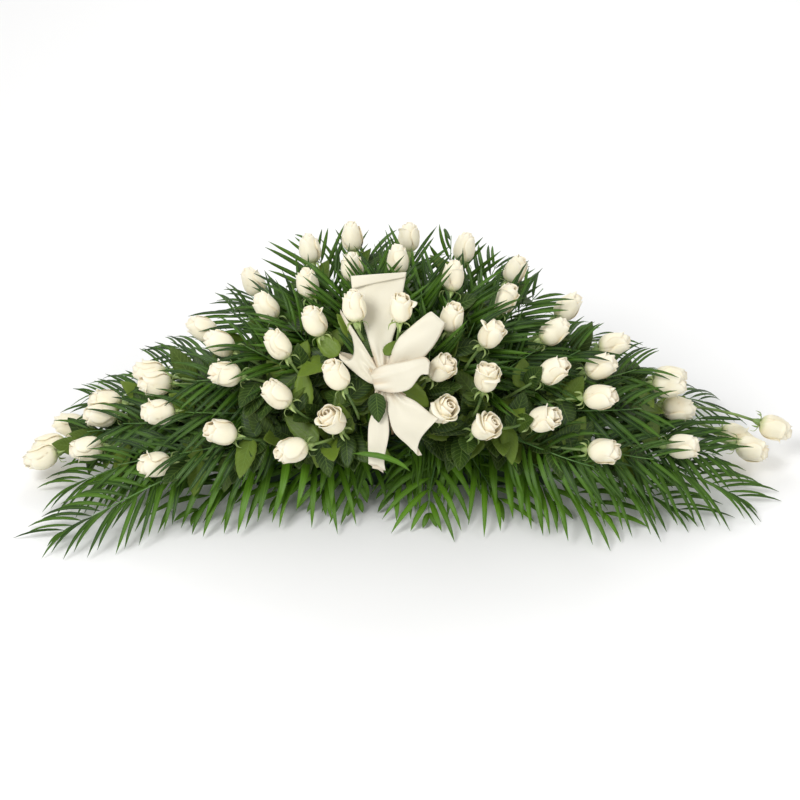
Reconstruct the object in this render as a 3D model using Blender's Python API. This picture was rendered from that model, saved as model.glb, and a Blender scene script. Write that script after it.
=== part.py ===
"""Casket spray: white roses, palm fronds and a ribbon bow in a tray of floral foam.

Metres, +Z up, +X along the spray, -Y towards the person who looks at it. The origin is
the middle of the tray's flat underside, so z = 0 is the surface that the spray rests on.

A place on the front is given as it is seen by somebody who looks down on the spray:
"across" runs along +X, "rise" runs up their view and "nearness" runs towards them.
"""

import itertools
import math
import random

import bmesh
import bpy
from mathutils import Vector
from mathutils.bvhtree import BVHTree

# View from which the places were read
LOOK_DOWN = math.radians(35.0)
ACROSS = Vector((1.0, 0.0, 0.0))
UPWARD = Vector((0.0, math.sin(LOOK_DOWN), math.cos(LOOK_DOWN)))
TOWARD = Vector((0.0, -math.cos(LOOK_DOWN), math.sin(LOOK_DOWN)))
UP = Vector((0.0, 0.0, 1.0))

# The dome that the rose heads lie on
DOME_HALF_LENGTH = 0.64
DOME_HALF_DEPTH = 0.27
DOME_HEIGHT = 0.43
DEPTH_REACH = 0.74
BACKMOST_LEAN = math.radians(24.0)
LOWEST_HEAD = 0.055

# Holder
TRAY_LENGTH = 0.500
TRAY_WIDTH = 0.140
TRAY_HEIGHT = 0.030
TRAY_WALL = 0.0025
TRAY_LIP = 0.006
BRICK_LENGTH = 0.230
BRICK_WIDTH = 0.110
BRICK_HEIGHT = 0.080
GAP = 0.0003
BUNDLE_RADIUS = 0.0150
BUNDLE_DEPTH = 0.050
BUNDLE_STAND = 0.013
BUNDLE_SPREAD = 0.009
BUNDLE_X = 0.080
FRONT_BUNDLE_Y = -0.022
BACK_BUNDLE_Y = 0.033
FOAM_TOP = TRAY_WALL + GAP + BRICK_HEIGHT

# The surfaces that part the greenery into four sectors
MIDDLE_OFFSET = 0.022
MIDDLE_SLANT = 0.16
# Low in front the right side reaches over the middle: how far, and where that begins and ends
STEP_ASIDE = 0.055
STEP_HEIGHTS = (0.080, 0.050)
STEP_DEPTHS = (-0.075, -0.115)
REAR_OFFSET = 0.001
REAR_SLOPE = 0.42
REAR_FAN = 0.12

# Rose
HEAD_LENGTH = 0.062
HEAD_RADIUS = 0.0245
PETALS = 5
PETAL_OVERLAP = 0.84
RING_TWIST = 0.22
GOLDEN_TURN = 2.399
BASE_RADIUS = 0.0070
HEART_DEPTH = 0.008
STEM_RADIUS = 0.0028
SHORT_STEM = 0.33
SEPAL_REACH = 0.021
SEPAL_DROP = 0.008
CALYX_NECK = 0.0055
CALYX_DEPTH = 0.011
HEAD_CLEARANCE = 0.0035
FUSED_SPACING = 0.038
EASING_ROUNDS = 60
EASING_REACH = 0.12
LOWEST_EASED_HEAD = 0.032

# Palm leaflet and rose leaf
LEAFLET_WIDTH = 0.019
RIB_DEPTH = 0.0018
RACHIS_HALF = 0.0018
RACHIS_DEPTH = 0.0034
LEAF_THICKNESS = 0.0016
LEAF_WIDTH = 0.036
LEAF_LENGTHS = (0.062, 0.076)
# Points of a rose leaf: shares of its length along, of its width across and up
LEAF_BASE = (0.0, 0.045, 0.0)
LEAF_SHOULDER = (0.30, 0.46, 0.10)
LEAF_WAIST = (0.66, 0.36, 0.02)
LEAF_TIP = (1.0, 0.0, -0.16)
LEAF_MIDDLE = (0.45, 0.0, -0.03)
BLADE_CLEARANCE = 0.0022
FLOOR_CLEARANCE = 0.0018
GROWN_CLEARANCE = 0.0008
FLAT_ANGLE = math.radians(1.0)
PETIOLE_SHARES = (0.0, 0.35, 0.7)

# How stems, ribs and leaflets are bent until they are clear
SWAY_TURNS = 8
STEM_SWAYS = (0.015, 0.03, 0.045, 0.06, 0.08, 0.10, 0.12)
RIB_SWAYS = (0.04, 0.08, 0.12, 0.17, 0.22, 0.28)
RIB_SLIDES = (0.0, -0.02, -0.04, 0.02, -0.06, -0.08)
LEAFLET_SHARES = (1.0, 0.82, 0.66, 0.50, 0.36, 0.24, 0.15)
LEAFLET_TILTS = (8, 0, 16, -10, 26, -20, 38, -32, 52, -46)

# Ribbon
RIBBON_THICKNESS = 0.0012
KNOT_RADIUS = 0.0175
STAKE_RADIUS = 0.0022
STAKE_SIDES = 8
STAKE_FOOT = Vector((-0.012, -0.022, 0.045))

# Rose heads: number, across, rise, turn on the view (0 right, 90 up), lean towards the eye,
# how far out of the dome it stands, how far it is open
ROSES = (
    (1, -0.620, 0.006, 195, 5, 0.000, 0.3),
    (2, -0.606, 0.034, 185, -5, -0.020, 0.3),
    (3, -0.576, 0.057, 170, -10, 0.000, 0.2),
    (4, -0.539, 0.024, 187, 10, 0.010, 0.4),
    (5, -0.511, 0.108, 175, 0, -0.012, 0.3),
    (6, -0.518, 0.074, 180, 10, 0.008, 0.4),
    (7, -0.434, 0.160, 170, -10, -0.012, 0.2),
    (8, -0.418, 0.127, 178, 10, 0.000, 0.3),
    (9, -0.412, 0.086, 183, 15, 0.010, 0.4),
    (10, -0.418, -0.002, 185, 15, 0.000, 0.5),
    (11, -0.342, 0.229, 153, 0, -0.008, 0.2),
    (12, -0.309, 0.203, 152, 5, 0.006, 0.3),
    (13, -0.298, 0.150, 170, 10, 0.000, 0.4),
    (14, -0.304, 0.053, 165, 25, 0.000, 0.5),
    (15, -0.257, 0.312, 120, 0, 0.000, 0.2),
    (16, -0.230, 0.266, 125, 10, 0.000, 0.3),
    (17, -0.208, 0.201, 125, 15, 0.000, 0.4),
    (18, -0.209, 0.117, 140, 20, 0.000, 0.5),
    (19, -0.185, 0.022, 195, 20, 0.000, 0.4),
    (20, -0.158, 0.369, 100, 0, 0.000, 0.2),
    (21, -0.159, 0.307, 100, 10, 0.000, 0.4),
    (22, -0.147, 0.240, 115, 15, 0.000, 0.4),
    (23, -0.110, 0.150, 120, 25, 0.022, 0.5),
    (24, -0.117, 0.075, 130, 45, 0.000, 0.9),
    (25, -0.086, 0.389, 95, 0, -0.010, 0.2),
    (26, -0.084, 0.333, 95, 5, -0.006, 0.3),
    (27, -0.079, 0.264, 97, 10, 0.036, 0.2),
    (28, 0.012, 0.388, 90, 0, 0.000, 0.3),
    (29, -0.007, 0.345, 90, 0, -0.010, 0.2),
    (30, -0.002, 0.262, 85, 25, 0.036, 0.7),
    (31, 0.084, 0.247, 75, 25, 0.000, 0.6),
    (32, 0.068, 0.161, 40, 30, -0.004, 0.9),
    (33, 0.070, 0.091, 35, 45, 0.000, 1.0),
    (34, 0.108, 0.370, 78, 0, 0.000, 0.2),
    (35, 0.086, 0.317, 80, 5, 0.000, 0.3),
    (36, 0.196, 0.333, 60, 5, 0.000, 0.4),
    (37, 0.175, 0.280, 62, 10, 0.000, 0.4),
    (38, 0.151, 0.218, 50, 20, 0.000, 0.8),
    (39, 0.141, 0.147, 75, 30, 0.000, 0.9),
    (40, 0.141, 0.063, 30, 40, 0.000, 0.9),
    (41, 0.283, 0.266, 45, 0, 0.000, 0.2),
    (42, 0.257, 0.223, 35, 0, -0.006, 0.2),
    (43, 0.254, 0.156, 30, 15, 0.000, 0.4),
    (44, 0.238, 0.075, 15, 25, 0.000, 0.5),
    (45, 0.362, 0.201, 15, 0, 0.000, 0.3),
    (46, 0.336, 0.163, 20, 10, 0.000, 0.4),
    (47, 0.333, 0.111, 3, 15, 0.000, 0.4),
    (48, 0.340, 0.021, -3, 20, 0.000, 0.6),
    (49, 0.463, 0.148, 5, -5, -0.014, 0.2),
    (50, 0.454, 0.120, -5, 5, 0.006, 0.3),
    (51, 0.474, 0.098, -10, 0, -0.034, 0.3),
    (52, 0.478, 0.027, 0, 10, 0.000, 0.6),
    (53, 0.590, 0.059, -20, -5, -0.012, 0.3),
    (54, 0.612, 0.021, -15, 5, 0.010, 0.4),
    (55, 0.628, 0.040, -20, 0, -0.040, 0.3),
)
TOUCHING_HEADS = ((1, 2), (5, 6), (7, 8), (49, 50), (53, 54))

# Front fronds: end of the rib across and up the view, its height (None on the dome), turn,
# lean, run of the rib with leaflets, longest leaflet, pairs
FRONT_FRONDS = (
    ("top_1", -0.180, 0.284, None, 118, -5, 0.16, 0.120, 6),
    ("top_2", -0.224, 0.262, None, 150, -5, 0.15, 0.115, 6),
    ("top_3", -0.118, 0.310, None, 108, -5, 0.14, 0.110, 6),
    ("top_4", -0.050, 0.312, None, 95, -8, 0.16, 0.115, 6),
    ("top_5", 0.060, 0.302, None, 78, -5, 0.17, 0.115, 6),
    ("top_6", 0.140, 0.276, None, 60, -5, 0.15, 0.115, 6),
    ("top_7", 0.206, 0.268, None, 38, -5, 0.17, 0.130, 6),
    ("top_8", 0.236, 0.196, None, 22, 0, 0.14, 0.120, 6),
    ("right_9", 0.398, 0.158, None, 18, -5, 0.17, 0.120, 6),
    ("right_10", 0.512, 0.079, None, 0, -5, 0.18, 0.120, 6),
    ("right_11", 0.575, -0.062, 0.014, -24, -5, 0.26, 0.150, 8),
    ("left_1", -0.524, 0.100, None, 165, -5, 0.16, 0.110, 6),
    ("left_2", -0.540, 0.052, None, 178, -5, 0.18, 0.110, 6),
    ("left_3", -0.415, 0.162, None, 155, -8, 0.16, 0.120, 6),
    ("left_5", -0.292, 0.258, None, 152, -5, 0.17, 0.130, 6),
    ("left_6", -0.345, 0.138, None, 182, 0, 0.16, 0.110, 6),
    ("middle_1", -0.020, 0.240, 0.280, 80, -30, 0.16, 0.110, 6),
    ("middle_2", 0.055, 0.230, 0.260, 100, -30, 0.16, 0.110, 6),
    ("floor_1", -0.575, -0.118, 0.012, 222, -10, 0.24, 0.130, 7),
    ("floor_2", -0.560, -0.038, 0.030, 208, -5, 0.18, 0.120, 6),
    ("floor_3", -0.470, -0.036, 0.045, 196, -5, 0.24, 0.170, 8),
    ("floor_4", -0.280, -0.030, 0.050, 218, -8, 0.20, 0.160, 6),
    ("floor_5", -0.136, -0.055, 0.026, 262, -10, 0.18, 0.150, 6),
    ("floor_6", 0.046, -0.095, 0.012, 272, -14, 0.18, 0.130, 7),
    ("floor_13", -0.078, -0.070, 0.018, 258, -12, 0.16, 0.120, 6),
    ("floor_14", -0.014, -0.062, 0.022, 262, -10, 0.15, 0.105, 6),
    ("floor_15", 0.012, 0.012, 0.092, 268, 5, 0.12, 0.100, 5),
    ("floor_7", -0.212, -0.060, 0.020, 244, -10, 0.17, 0.140, 6),
    ("floor_8", -0.356, -0.090, 0.014, 246, -8, 0.22, 0.150, 7),
    ("floor_9", 0.170, -0.070, 0.022, 286, -10, 0.18, 0.140, 6),
    ("floor_10", 0.262, -0.078, 0.018, 282, -10, 0.17, 0.140, 6),
    ("floor_11", 0.352, -0.094, 0.014, 300, -10, 0.20, 0.150, 7),
    ("floor_12", 0.476, -0.084, 0.014, 312, -8, 0.20, 0.140, 6),
)

# Back fronds: end of the rib, run, longest leaflet, pairs
BACK_FRONDS = (
    ("back_1", (-0.500, 0.170, 0.030), 0.24, 0.150, 7),
    ("back_2", (-0.340, 0.235, 0.022), 0.22, 0.150, 6),
    ("back_3", (-0.185, 0.262, 0.018), 0.20, 0.150, 6),
    ("back_4", (-0.030, 0.270, 0.018), 0.18, 0.140, 6),
    ("back_5", (0.125, 0.268, 0.018), 0.18, 0.140, 6),
    ("back_6", (0.270, 0.252, 0.020), 0.20, 0.150, 6),
    ("back_7", (0.410, 0.205, 0.026), 0.22, 0.150, 6),
    ("back_8", (0.530, 0.130, 0.036), 0.24, 0.140, 7),
    ("back_9", (-0.270, 0.205, 0.215), 0.20, 0.140, 6),
    ("back_10", (-0.060, 0.215, 0.285), 0.20, 0.140, 6),
    ("back_11", (0.165, 0.210, 0.270), 0.20, 0.140, 6),
    ("back_12", (0.360, 0.175, 0.160), 0.20, 0.140, 6),
    ("back_13", (-0.165, 0.185, 0.355), 0.22, 0.140, 6),
    ("back_14", (0.085, 0.185, 0.365), 0.22, 0.140, 6),
    ("back_15", (0.270, 0.165, 0.280), 0.22, 0.140, 6),
    ("back_16", (-0.400, 0.165, 0.130), 0.22, 0.140, 6),
    ("back_17", (0.010, 0.210, 0.150), 0.18, 0.120, 6),
    ("back_18", (0.215, 0.185, 0.075), 0.18, 0.120, 6),
    ("back_19", (-0.215, 0.190, 0.090), 0.18, 0.120, 6),
)

# Roses whose stems carry leaves, with the share of the stem where the leaves grow
LEAFY_ROSES = {
    3: 0.70, 5: 0.72, 8: 0.72, 10: 0.78, 12: 0.74, 13: 0.70, 14: 0.76, 15: 0.74, 17: 0.74,
    18: 0.70, 19: 0.76, 21: 0.76, 22: 0.74, 23: 0.72, 24: 0.70, 27: 0.78, 30: 0.76, 32: 0.72,
    33: 0.70, 35: 0.76, 37: 0.74, 38: 0.74, 39: 0.72, 40: 0.72, 42: 0.76, 43: 0.72, 44: 0.72,
    46: 0.74, 48: 0.78, 50: 0.76, 52: 0.74, 54: 0.74,
}
LEAVES_PER_ROSE = 2

# Ribbon bands: each station is left edge, right edge and crown, in across, rise, nearness
RIBBON_BANDS = {
    "upright_tail": (
        ((-0.037, 0.146, 0.324), (-0.026, 0.146, 0.324), 0.000),
        ((-0.044, 0.166, 0.322), (-0.020, 0.164, 0.322), 0.003),
        ((-0.056, 0.205, 0.312), (-0.016, 0.203, 0.312), 0.008),
        ((-0.066, 0.240, 0.302), (-0.006, 0.238, 0.304), 0.008),
        ((-0.078, 0.285, 0.292), (0.002, 0.288, 0.294), 0.006),
        ((-0.086, 0.314, 0.291), (0.008, 0.322, 0.293), 0.003),
        ((-0.087, 0.322, 0.296), (0.009, 0.331, 0.298), 0.002),
        ((-0.086, 0.306, 0.302), (0.006, 0.316, 0.304), 0.001),
    ),
    "upper_right_loop": (
        ((-0.034, 0.146, 0.326), (-0.024, 0.138, 0.326), 0.000),
        ((-0.024, 0.168, 0.330), (0.012, 0.158, 0.332), 0.006),
        ((-0.008, 0.205, 0.336), (0.040, 0.182, 0.340), 0.014),
        ((0.016, 0.228, 0.340), (0.058, 0.206, 0.344), 0.016),
        ((0.046, 0.258, 0.346), (0.072, 0.238, 0.350), 0.014),
    ),
    "lower_right_loop": (
        ((-0.040, 0.144, 0.322), (-0.034, 0.134, 0.322), 0.000),
        ((-0.052, 0.147, 0.336), (-0.044, 0.124, 0.334), 0.006),
        ((-0.038, 0.160, 0.345), (-0.016, 0.118, 0.345), 0.012),
        ((0.002, 0.168, 0.348), (0.012, 0.124, 0.350), 0.014),
        ((0.034, 0.174, 0.356), (0.030, 0.146, 0.358), 0.010),
        ((0.044, 0.168, 0.362), (0.042, 0.148, 0.364), 0.006),
    ),
    "left_loop": (
        ((-0.036, 0.136, 0.324), (-0.034, 0.146, 0.324), 0.000),
        ((-0.048, 0.132, 0.322), (-0.044, 0.164, 0.322), 0.004),
        ((-0.064, 0.140, 0.320), (-0.062, 0.194, 0.318), 0.008),
        ((-0.086, 0.158, 0.308), (-0.080, 0.222, 0.306), 0.008),
        ((-0.104, 0.178, 0.296), (-0.102, 0.254, 0.298), -0.008),
    ),
    "right_tail": (
        ((-0.032, 0.140, 0.326), (-0.024, 0.138, 0.326), 0.000),
        ((-0.026, 0.114, 0.326), (-0.004, 0.118, 0.328), 0.004),
        ((-0.023, 0.084, 0.330), (0.022, 0.104, 0.334), 0.008),
        ((-0.014, 0.052, 0.326), (0.044, 0.086, 0.340), 0.010),
        ((0.010, 0.028, 0.318), (0.054, 0.078, 0.344), 0.004),
        ((0.030, 0.008, 0.310), (0.060, 0.074, 0.348), -0.002),
    ),
    "left_tail": (
        ((-0.036, 0.138, 0.324), (-0.028, 0.138, 0.324), 0.000),
        ((-0.042, 0.116, 0.322), (-0.026, 0.116, 0.322), 0.003),
        ((-0.048, 0.090, 0.318), (-0.024, 0.086, 0.322), 0.006),
        ((-0.056, 0.062, 0.314), (-0.022, 0.052, 0.320), 0.008),
        ((-0.056, 0.014, 0.306), (-0.030, 0.008, 0.312), 0.006),
        ((-0.056, -0.004, 0.300), (-0.026, -0.017, 0.304), 0.003),
    ),
}
KNOT_PLACE = (-0.031, 0.141, 0.327)

MATERIALS = {
    "petal": ((0.88, 0.84, 0.72), 0.55),
    "green": ((0.05, 0.17, 0.03), 0.45),
    "ribbon": ((0.87, 0.83, 0.71), 0.40),
    "foam": ((0.08, 0.20, 0.09), 0.95),
    "tray": ((0.04, 0.12, 0.05), 0.40),
    "wood": ((0.55, 0.38, 0.20), 0.70),
}


def clear_scene():
    for obj in list(bpy.data.objects):
        bpy.data.objects.remove(obj)


def material(name):
    colour, roughness = MATERIALS[name]
    made = bpy.data.materials.get(name) or bpy.data.materials.new(name)
    made.use_nodes = True
    shader = made.node_tree.nodes["Principled BSDF"]
    shader.inputs["Base Color"].default_value = (*colour, 1.0)
    shader.inputs["Roughness"].default_value = roughness
    shader.inputs["Metallic"].default_value = 0.0
    return made


def mesh_object(name, points, faces, finish, collection=None):
    """An object from points and faces, with its faces turned outwards."""
    mesh = bpy.data.meshes.new(name)
    mesh.from_pydata([tuple(point) for point in points], [], faces)
    work = bmesh.new()
    work.from_mesh(mesh)
    bmesh.ops.recalc_face_normals(work, faces=work.faces)
    bmesh.ops.triangulate(work, faces=work.faces)
    work.to_mesh(mesh)
    work.free()
    mesh.materials.append(material(finish))
    obj = bpy.data.objects.new(name, mesh)
    (collection or bpy.context.scene.collection).objects.link(obj)
    return obj


def seen_at(across, rise, nearness):
    return across * ACROSS + rise * UPWARD + nearness * TOWARD


def direction(turn, lean):
    """A unit direction from its turn on the view and its lean towards the eye, in degrees."""
    on_view = math.cos(math.radians(turn)) * ACROSS + math.sin(math.radians(turn)) * UPWARD
    return math.cos(math.radians(lean)) * on_view + math.sin(math.radians(lean)) * TOWARD


def with_height(point, height):
    """The point slid along the line of sight until it is at this height."""
    return point + (height - point.z) / TOWARD.z * TOWARD


def on_dome(across, rise, scale=1.0):
    """The point of the dome that is seen at this place."""
    height = scale * DOME_HEIGHT * max(0.10, 1.0 - (abs(across) / DOME_HALF_LENGTH) ** 1.6)
    depth = scale * DOME_HALF_DEPTH * max(0.20, 1.0 - (abs(across) / DEPTH_REACH) ** 2.4)
    reach = math.hypot(UPWARD.y * depth, UPWARD.z * height)
    crest = math.atan2(UPWARD.y * depth, UPWARD.z * height)
    lean = crest - math.acos(max(-0.9, min(1.0, rise / reach)))
    lean = min(lean, BACKMOST_LEAN)
    point = Vector((across, depth * math.sin(lean), height * math.cos(lean)))
    return point + (rise - point.dot(UPWARD)) * UPWARD


def frame_on(axis):
    """Two unit directions square to an axis."""
    side = axis.cross(UP)
    if side.length < 0.05:
        side = axis.cross(ACROSS)
    side.normalize()
    return side, side.cross(axis).normalized()


def bezier(start, first, second, end, steps):
    points = []
    for step in range(steps + 1):
        t = step / steps
        u = 1.0 - t
        points.append(u ** 3 * start + 3 * u * u * t * first + 3 * u * t * t * second + t ** 3 * end)
    return points


def along(points, distance):
    """The point and the direction at a distance along a polyline."""
    for a, b in zip(points, points[1:]):
        length = (b - a).length
        if distance <= length or b is points[-1]:
            return a.lerp(b, min(distance / length, 1.0)), (b - a).normalized()
        distance -= length
    return points[-1], (points[-1] - points[-2]).normalized()


def path_length(points):
    return sum((b - a).length for a, b in zip(points, points[1:]))


class Head:
    """A rose head: its middle, its axis and how far it is open."""

    def __init__(self, number, across, rise, turn, lean, out, opened):
        self.number = number
        place = on_dome(across, rise) + out * TOWARD
        if place.z < LOWEST_HEAD:
            place = with_height(place, LOWEST_HEAD)
        self.place = place
        self.axis = direction(turn, lean)
        self.opened = opened
        self.group = next((g for g in TOUCHING_HEADS if number in g), (number,))

    @property
    def foot(self):
        return self.place - 0.5 * HEAD_LENGTH * self.axis

    def spine(self):
        half = 0.5 * HEAD_LENGTH - 0.8 * HEAD_RADIUS
        return self.place - half * self.axis, self.place + half * self.axis


def segment_gap(first, second):
    """The shortest vector from one segment to another."""
    best = None
    for i in range(7):
        a = first[0].lerp(first[1], i / 6)
        for j in range(7):
            b = second[0].lerp(second[1], j / 6)
            if best is None or (b - a).length < best.length:
                best = b - a
    return best


def ease_apart(heads):
    """Neighbouring heads that would meet slide apart, mostly along the line of sight, and
    those that touch in the spray draw together."""
    wanted = 2 * HEAD_RADIUS + HEAD_CLEARANCE
    for _ in range(EASING_ROUNDS):
        moved = False
        for i, first in enumerate(heads):
            for second in heads[i + 1:]:
                if (second.place - first.place).length > EASING_REACH:
                    continue
                gap = segment_gap(first.spine(), second.spine())
                if first.group == second.group:
                    if second.number == first.number + 1 and gap.length > FUSED_SPACING:
                        pull = 0.25 * (gap.length - FUSED_SPACING + 0.001) * gap.normalized()
                        first.place += pull
                        second.place -= pull
                        moved = True
                    continue
                if gap.length >= wanted:
                    continue
                sign = 1.0 if (second.place - first.place).dot(TOWARD) >= 0 else -1.0
                push = (gap.normalized() + 0.8 * sign * TOWARD).normalized()
                first.place -= 0.5 * (wanted - gap.length) * push
                second.place += 0.5 * (wanted - gap.length) * push
                moved = True
        if not moved:
            break
    for head in heads:
        head.place.z = max(head.place.z, LOWEST_EASED_HEAD)


def head_rings(opened):
    """Radius, height, step of the petals and lift of their free edges for each ring of a head."""
    flare = 0.0225 + 0.003 * opened
    return (
        (0.0225, 0.024, 0.10, 0.001),
        (flare, 0.047 - 0.004 * opened, 0.16, 0.005),
        (0.0140 + 0.003 * opened, 0.045 - 0.005 * opened, 0.06, 0.000),
    )


def rose_head(head, collection):
    """A closed head whose petals wrap over each other like a pinwheel, round a raised bud."""
    side, other = frame_on(head.axis)
    spin = GOLDEN_TURN * head.number
    bud_radius = 0.0095 + 0.004 * head.opened
    bud_height = HEAD_LENGTH - 0.002 - 0.005 * head.opened
    points = []

    def add(steps, wide, up):
        """A point at a turn of this many petals, a radius and a height over the foot."""
        turn = steps * math.tau / PETALS + spin
        out = math.cos(turn) * side + math.sin(turn) * other
        points.append(head.foot + up * head.axis + wide * out)
        return len(points) - 1

    base = [add(column + 0.3, BASE_RADIUS, 0.0) for column in range(PETALS)]
    rings = []
    for level, (radius, height, step, lift) in enumerate(head_rings(head.opened)):
        ring = []
        for column in range(2 * PETALS):
            free_edge = column % 2
            steps = column // 2 + PETAL_OVERLAP * free_edge + RING_TWIST * (level + 1)
            wide = radius * (1.0 + step * (free_edge - 0.5))
            ring.append(add(steps, wide, height + lift * (free_edge - 0.5)))
        rings.append(ring)
    bud = [add(column + 1.3, bud_radius, bud_height) for column in range(PETALS)]
    heart = add(0.0, 0.0, bud_height - HEART_DEPTH)
    faces = [tuple(base)]
    for low, high in zip(rings, rings[1:]):
        for column in range(len(low)):
            after = (column + 1) % len(low)
            faces.append((low[column], low[after], high[after], high[column]))
    for column in range(PETALS):
        after = (column + 1) % PETALS
        for few, many in ((base, rings[0]), (bud, rings[-1])):
            start, middle, end = many[2 * column], many[2 * column + 1], many[2 * after]
            faces.append((start, middle, few[column]))
            faces.append((middle, end, few[after], few[column]))
        faces.append((bud[column], bud[after], heart))
    return mesh_object(f"head_{head.number}", points, faces, "petal", collection)


def union(base, parts, name, solver="MANIFOLD"):
    """One Boolean union of a base with a collection of parts, applied."""
    joined = base.modifiers.new("join", "BOOLEAN")
    joined.operation = "UNION"
    joined.solver = solver
    joined.operand_type = "COLLECTION"
    joined.collection = parts
    graph = bpy.context.evaluated_depsgraph_get()
    mesh = bpy.data.meshes.new_from_object(base.evaluated_get(graph))
    base.modifiers.remove(joined)
    base.data = mesh
    base.name = name
    for obj in list(parts.objects):
        bpy.data.objects.remove(obj)
    bpy.data.collections.remove(parts)
    keep_main_body(base)
    return base


def keep_main_body(obj):
    """Fills sealed hollows and drops loose scraps: only the largest closed shell stays."""
    work = bmesh.new()
    work.from_mesh(obj.data)
    unseen = set(work.faces)
    shells = []
    while unseen:
        shell = {unseen.pop()}
        edge_of = list(shell)
        while edge_of:
            face = edge_of.pop()
            for edge in face.edges:
                for other in edge.link_faces:
                    if other in unseen:
                        unseen.discard(other)
                        shell.add(other)
                        edge_of.append(other)
        shells.append(shell)
    shells.sort(key=len, reverse=True)
    scraps = [face for shell in shells[1:] for face in shell]
    if scraps:
        bmesh.ops.delete(work, geom=scraps, context="FACES")
    bmesh.ops.dissolve_limit(work, angle_limit=FLAT_ANGLE, verts=work.verts, edges=work.edges)
    bmesh.ops.triangulate(work, faces=work.faces)
    work.to_mesh(obj.data)
    work.free()


def new_collection(name):
    made = bpy.data.collections.new(name)
    bpy.context.scene.collection.children.link(made)
    return made


def build_heads(heads):
    """Every rose head as its own object, with those that touch fused into one."""
    made = []
    for group in sorted({head.group for head in heads}):
        parts = new_collection("touching heads")
        members = [rose_head(head, parts) for head in heads if head.group == group]
        base = members[0]
        parts.objects.unlink(base)
        bpy.context.scene.collection.objects.link(base)
        name = "rose_head_" + "_".join(f"{number:02d}" for number in group)
        made.append(union(base, parts, name) if len(group) > 1 else base)
        base.name = name
        if len(group) == 1:
            bpy.data.collections.remove(parts)
    return made


def band_object(name, stations, collection):
    """A ribbon band with three columns of points, each side thickened alike."""
    rows = []
    for left, right, crown in stations:
        middle = [(a + b) / 2 for a, b in zip(left, right)]
        middle[2] += crown
        rows.append([seen_at(*left), seen_at(*middle), seen_at(*right)])
    points = []
    for index, row in enumerate(rows):
        before = rows[max(index - 1, 0)]
        after = rows[min(index + 1, len(rows) - 1)]
        for column, point in enumerate(row):
            forward = after[column] - before[column]
            across = row[min(column + 1, 2)] - row[max(column - 1, 0)]
            facing = across.cross(forward).normalized()
            points.append(point + 0.5 * RIBBON_THICKNESS * facing)
            points.append(point - 0.5 * RIBBON_THICKNESS * facing)

    def at(row, column, under):
        return 6 * row + 2 * column + under

    faces = []
    last = len(rows) - 1
    for row in range(last):
        for column in range(2):
            for under in (0, 1):
                a = at(row, column, under)
                b = at(row, column + 1, under)
                c = at(row + 1, column + 1, under)
                d = at(row + 1, column, under)
                faces.append((a, b, c))
                faces.append((a, c, d))
        for column in (0, 2):
            edge = [at(row, column, 0), at(row, column, 1)]
            faces.append((*edge, at(row + 1, column, 1), at(row + 1, column, 0)))
    for row in (0, last):
        for column in range(2):
            edge = [at(row, column, 0), at(row, column + 1, 0)]
            faces.append((*edge, at(row, column + 1, 1), at(row, column, 1)))
    return mesh_object(name, points, faces, "ribbon", collection)


def build_bow():
    """Ribbon bow: a knot with two tails, three loops and an upright tail fused to it."""
    parts = new_collection("ribbon bands")
    for name, stations in RIBBON_BANDS.items():
        band_object(name, stations, parts)
    mesh = bpy.data.meshes.new("knot")
    work = bmesh.new()
    bmesh.ops.create_icosphere(work, subdivisions=1, radius=KNOT_RADIUS)
    bmesh.ops.translate(work, verts=work.verts, vec=seen_at(*KNOT_PLACE))
    work.to_mesh(mesh)
    work.free()
    mesh.materials.append(material("ribbon"))
    knot = bpy.data.objects.new("knot", mesh)
    bpy.context.scene.collection.objects.link(knot)
    return union(knot, parts, "ribbon_bow", "MANIFOLD")


def tube(name, path, radii, sides, finish, collection=None):
    """A closed tube of few sides along a path."""
    points = []
    side, other = frame_on((path[1] - path[0]).normalized())
    for index, point in enumerate(path):
        ahead = (path[min(index + 1, len(path) - 1)] - path[max(index - 1, 0)]).normalized()
        side = (side - side.dot(ahead) * ahead).normalized()
        other = side.cross(ahead)
        for corner in range(sides):
            turn = corner * math.tau / sides
            points.append(point + radii[index] * (math.cos(turn) * side + math.sin(turn) * other))
    faces = [tuple(range(sides)), tuple(range(len(points) - sides, len(points)))]
    for index in range(len(path) - 1):
        for corner in range(sides):
            a = index * sides + corner
            b = index * sides + (corner + 1) % sides
            faces.append((a, b, b + sides, a + sides))
    return mesh_object(name, points, faces, finish, collection)


def cut(obj, cutter):
    """Cuts one solid out of another at once and removes the cutter."""
    made = obj.modifiers.new("cut", "BOOLEAN")
    made.operation = "DIFFERENCE"
    made.object = cutter
    graph = bpy.context.evaluated_depsgraph_get()
    mesh = bpy.data.meshes.new_from_object(obj.evaluated_get(graph))
    obj.modifiers.remove(made)
    obj.data = mesh
    bpy.data.objects.remove(cutter)


def box_object(name, low, high, finish):
    """A box between two corners."""
    corners = list(itertools.product(*zip(low, high)))
    faces = [(0, 1, 3, 2), (4, 6, 7, 5), (0, 4, 5, 1), (2, 3, 7, 6), (0, 2, 6, 4), (1, 5, 7, 3)]
    return mesh_object(name, corners, faces, finish)


def stake_line():
    """The direction of the bow's stake, from its foot to the knot."""
    return (seen_at(*KNOT_PLACE) - STAKE_FOOT).normalized()


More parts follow.
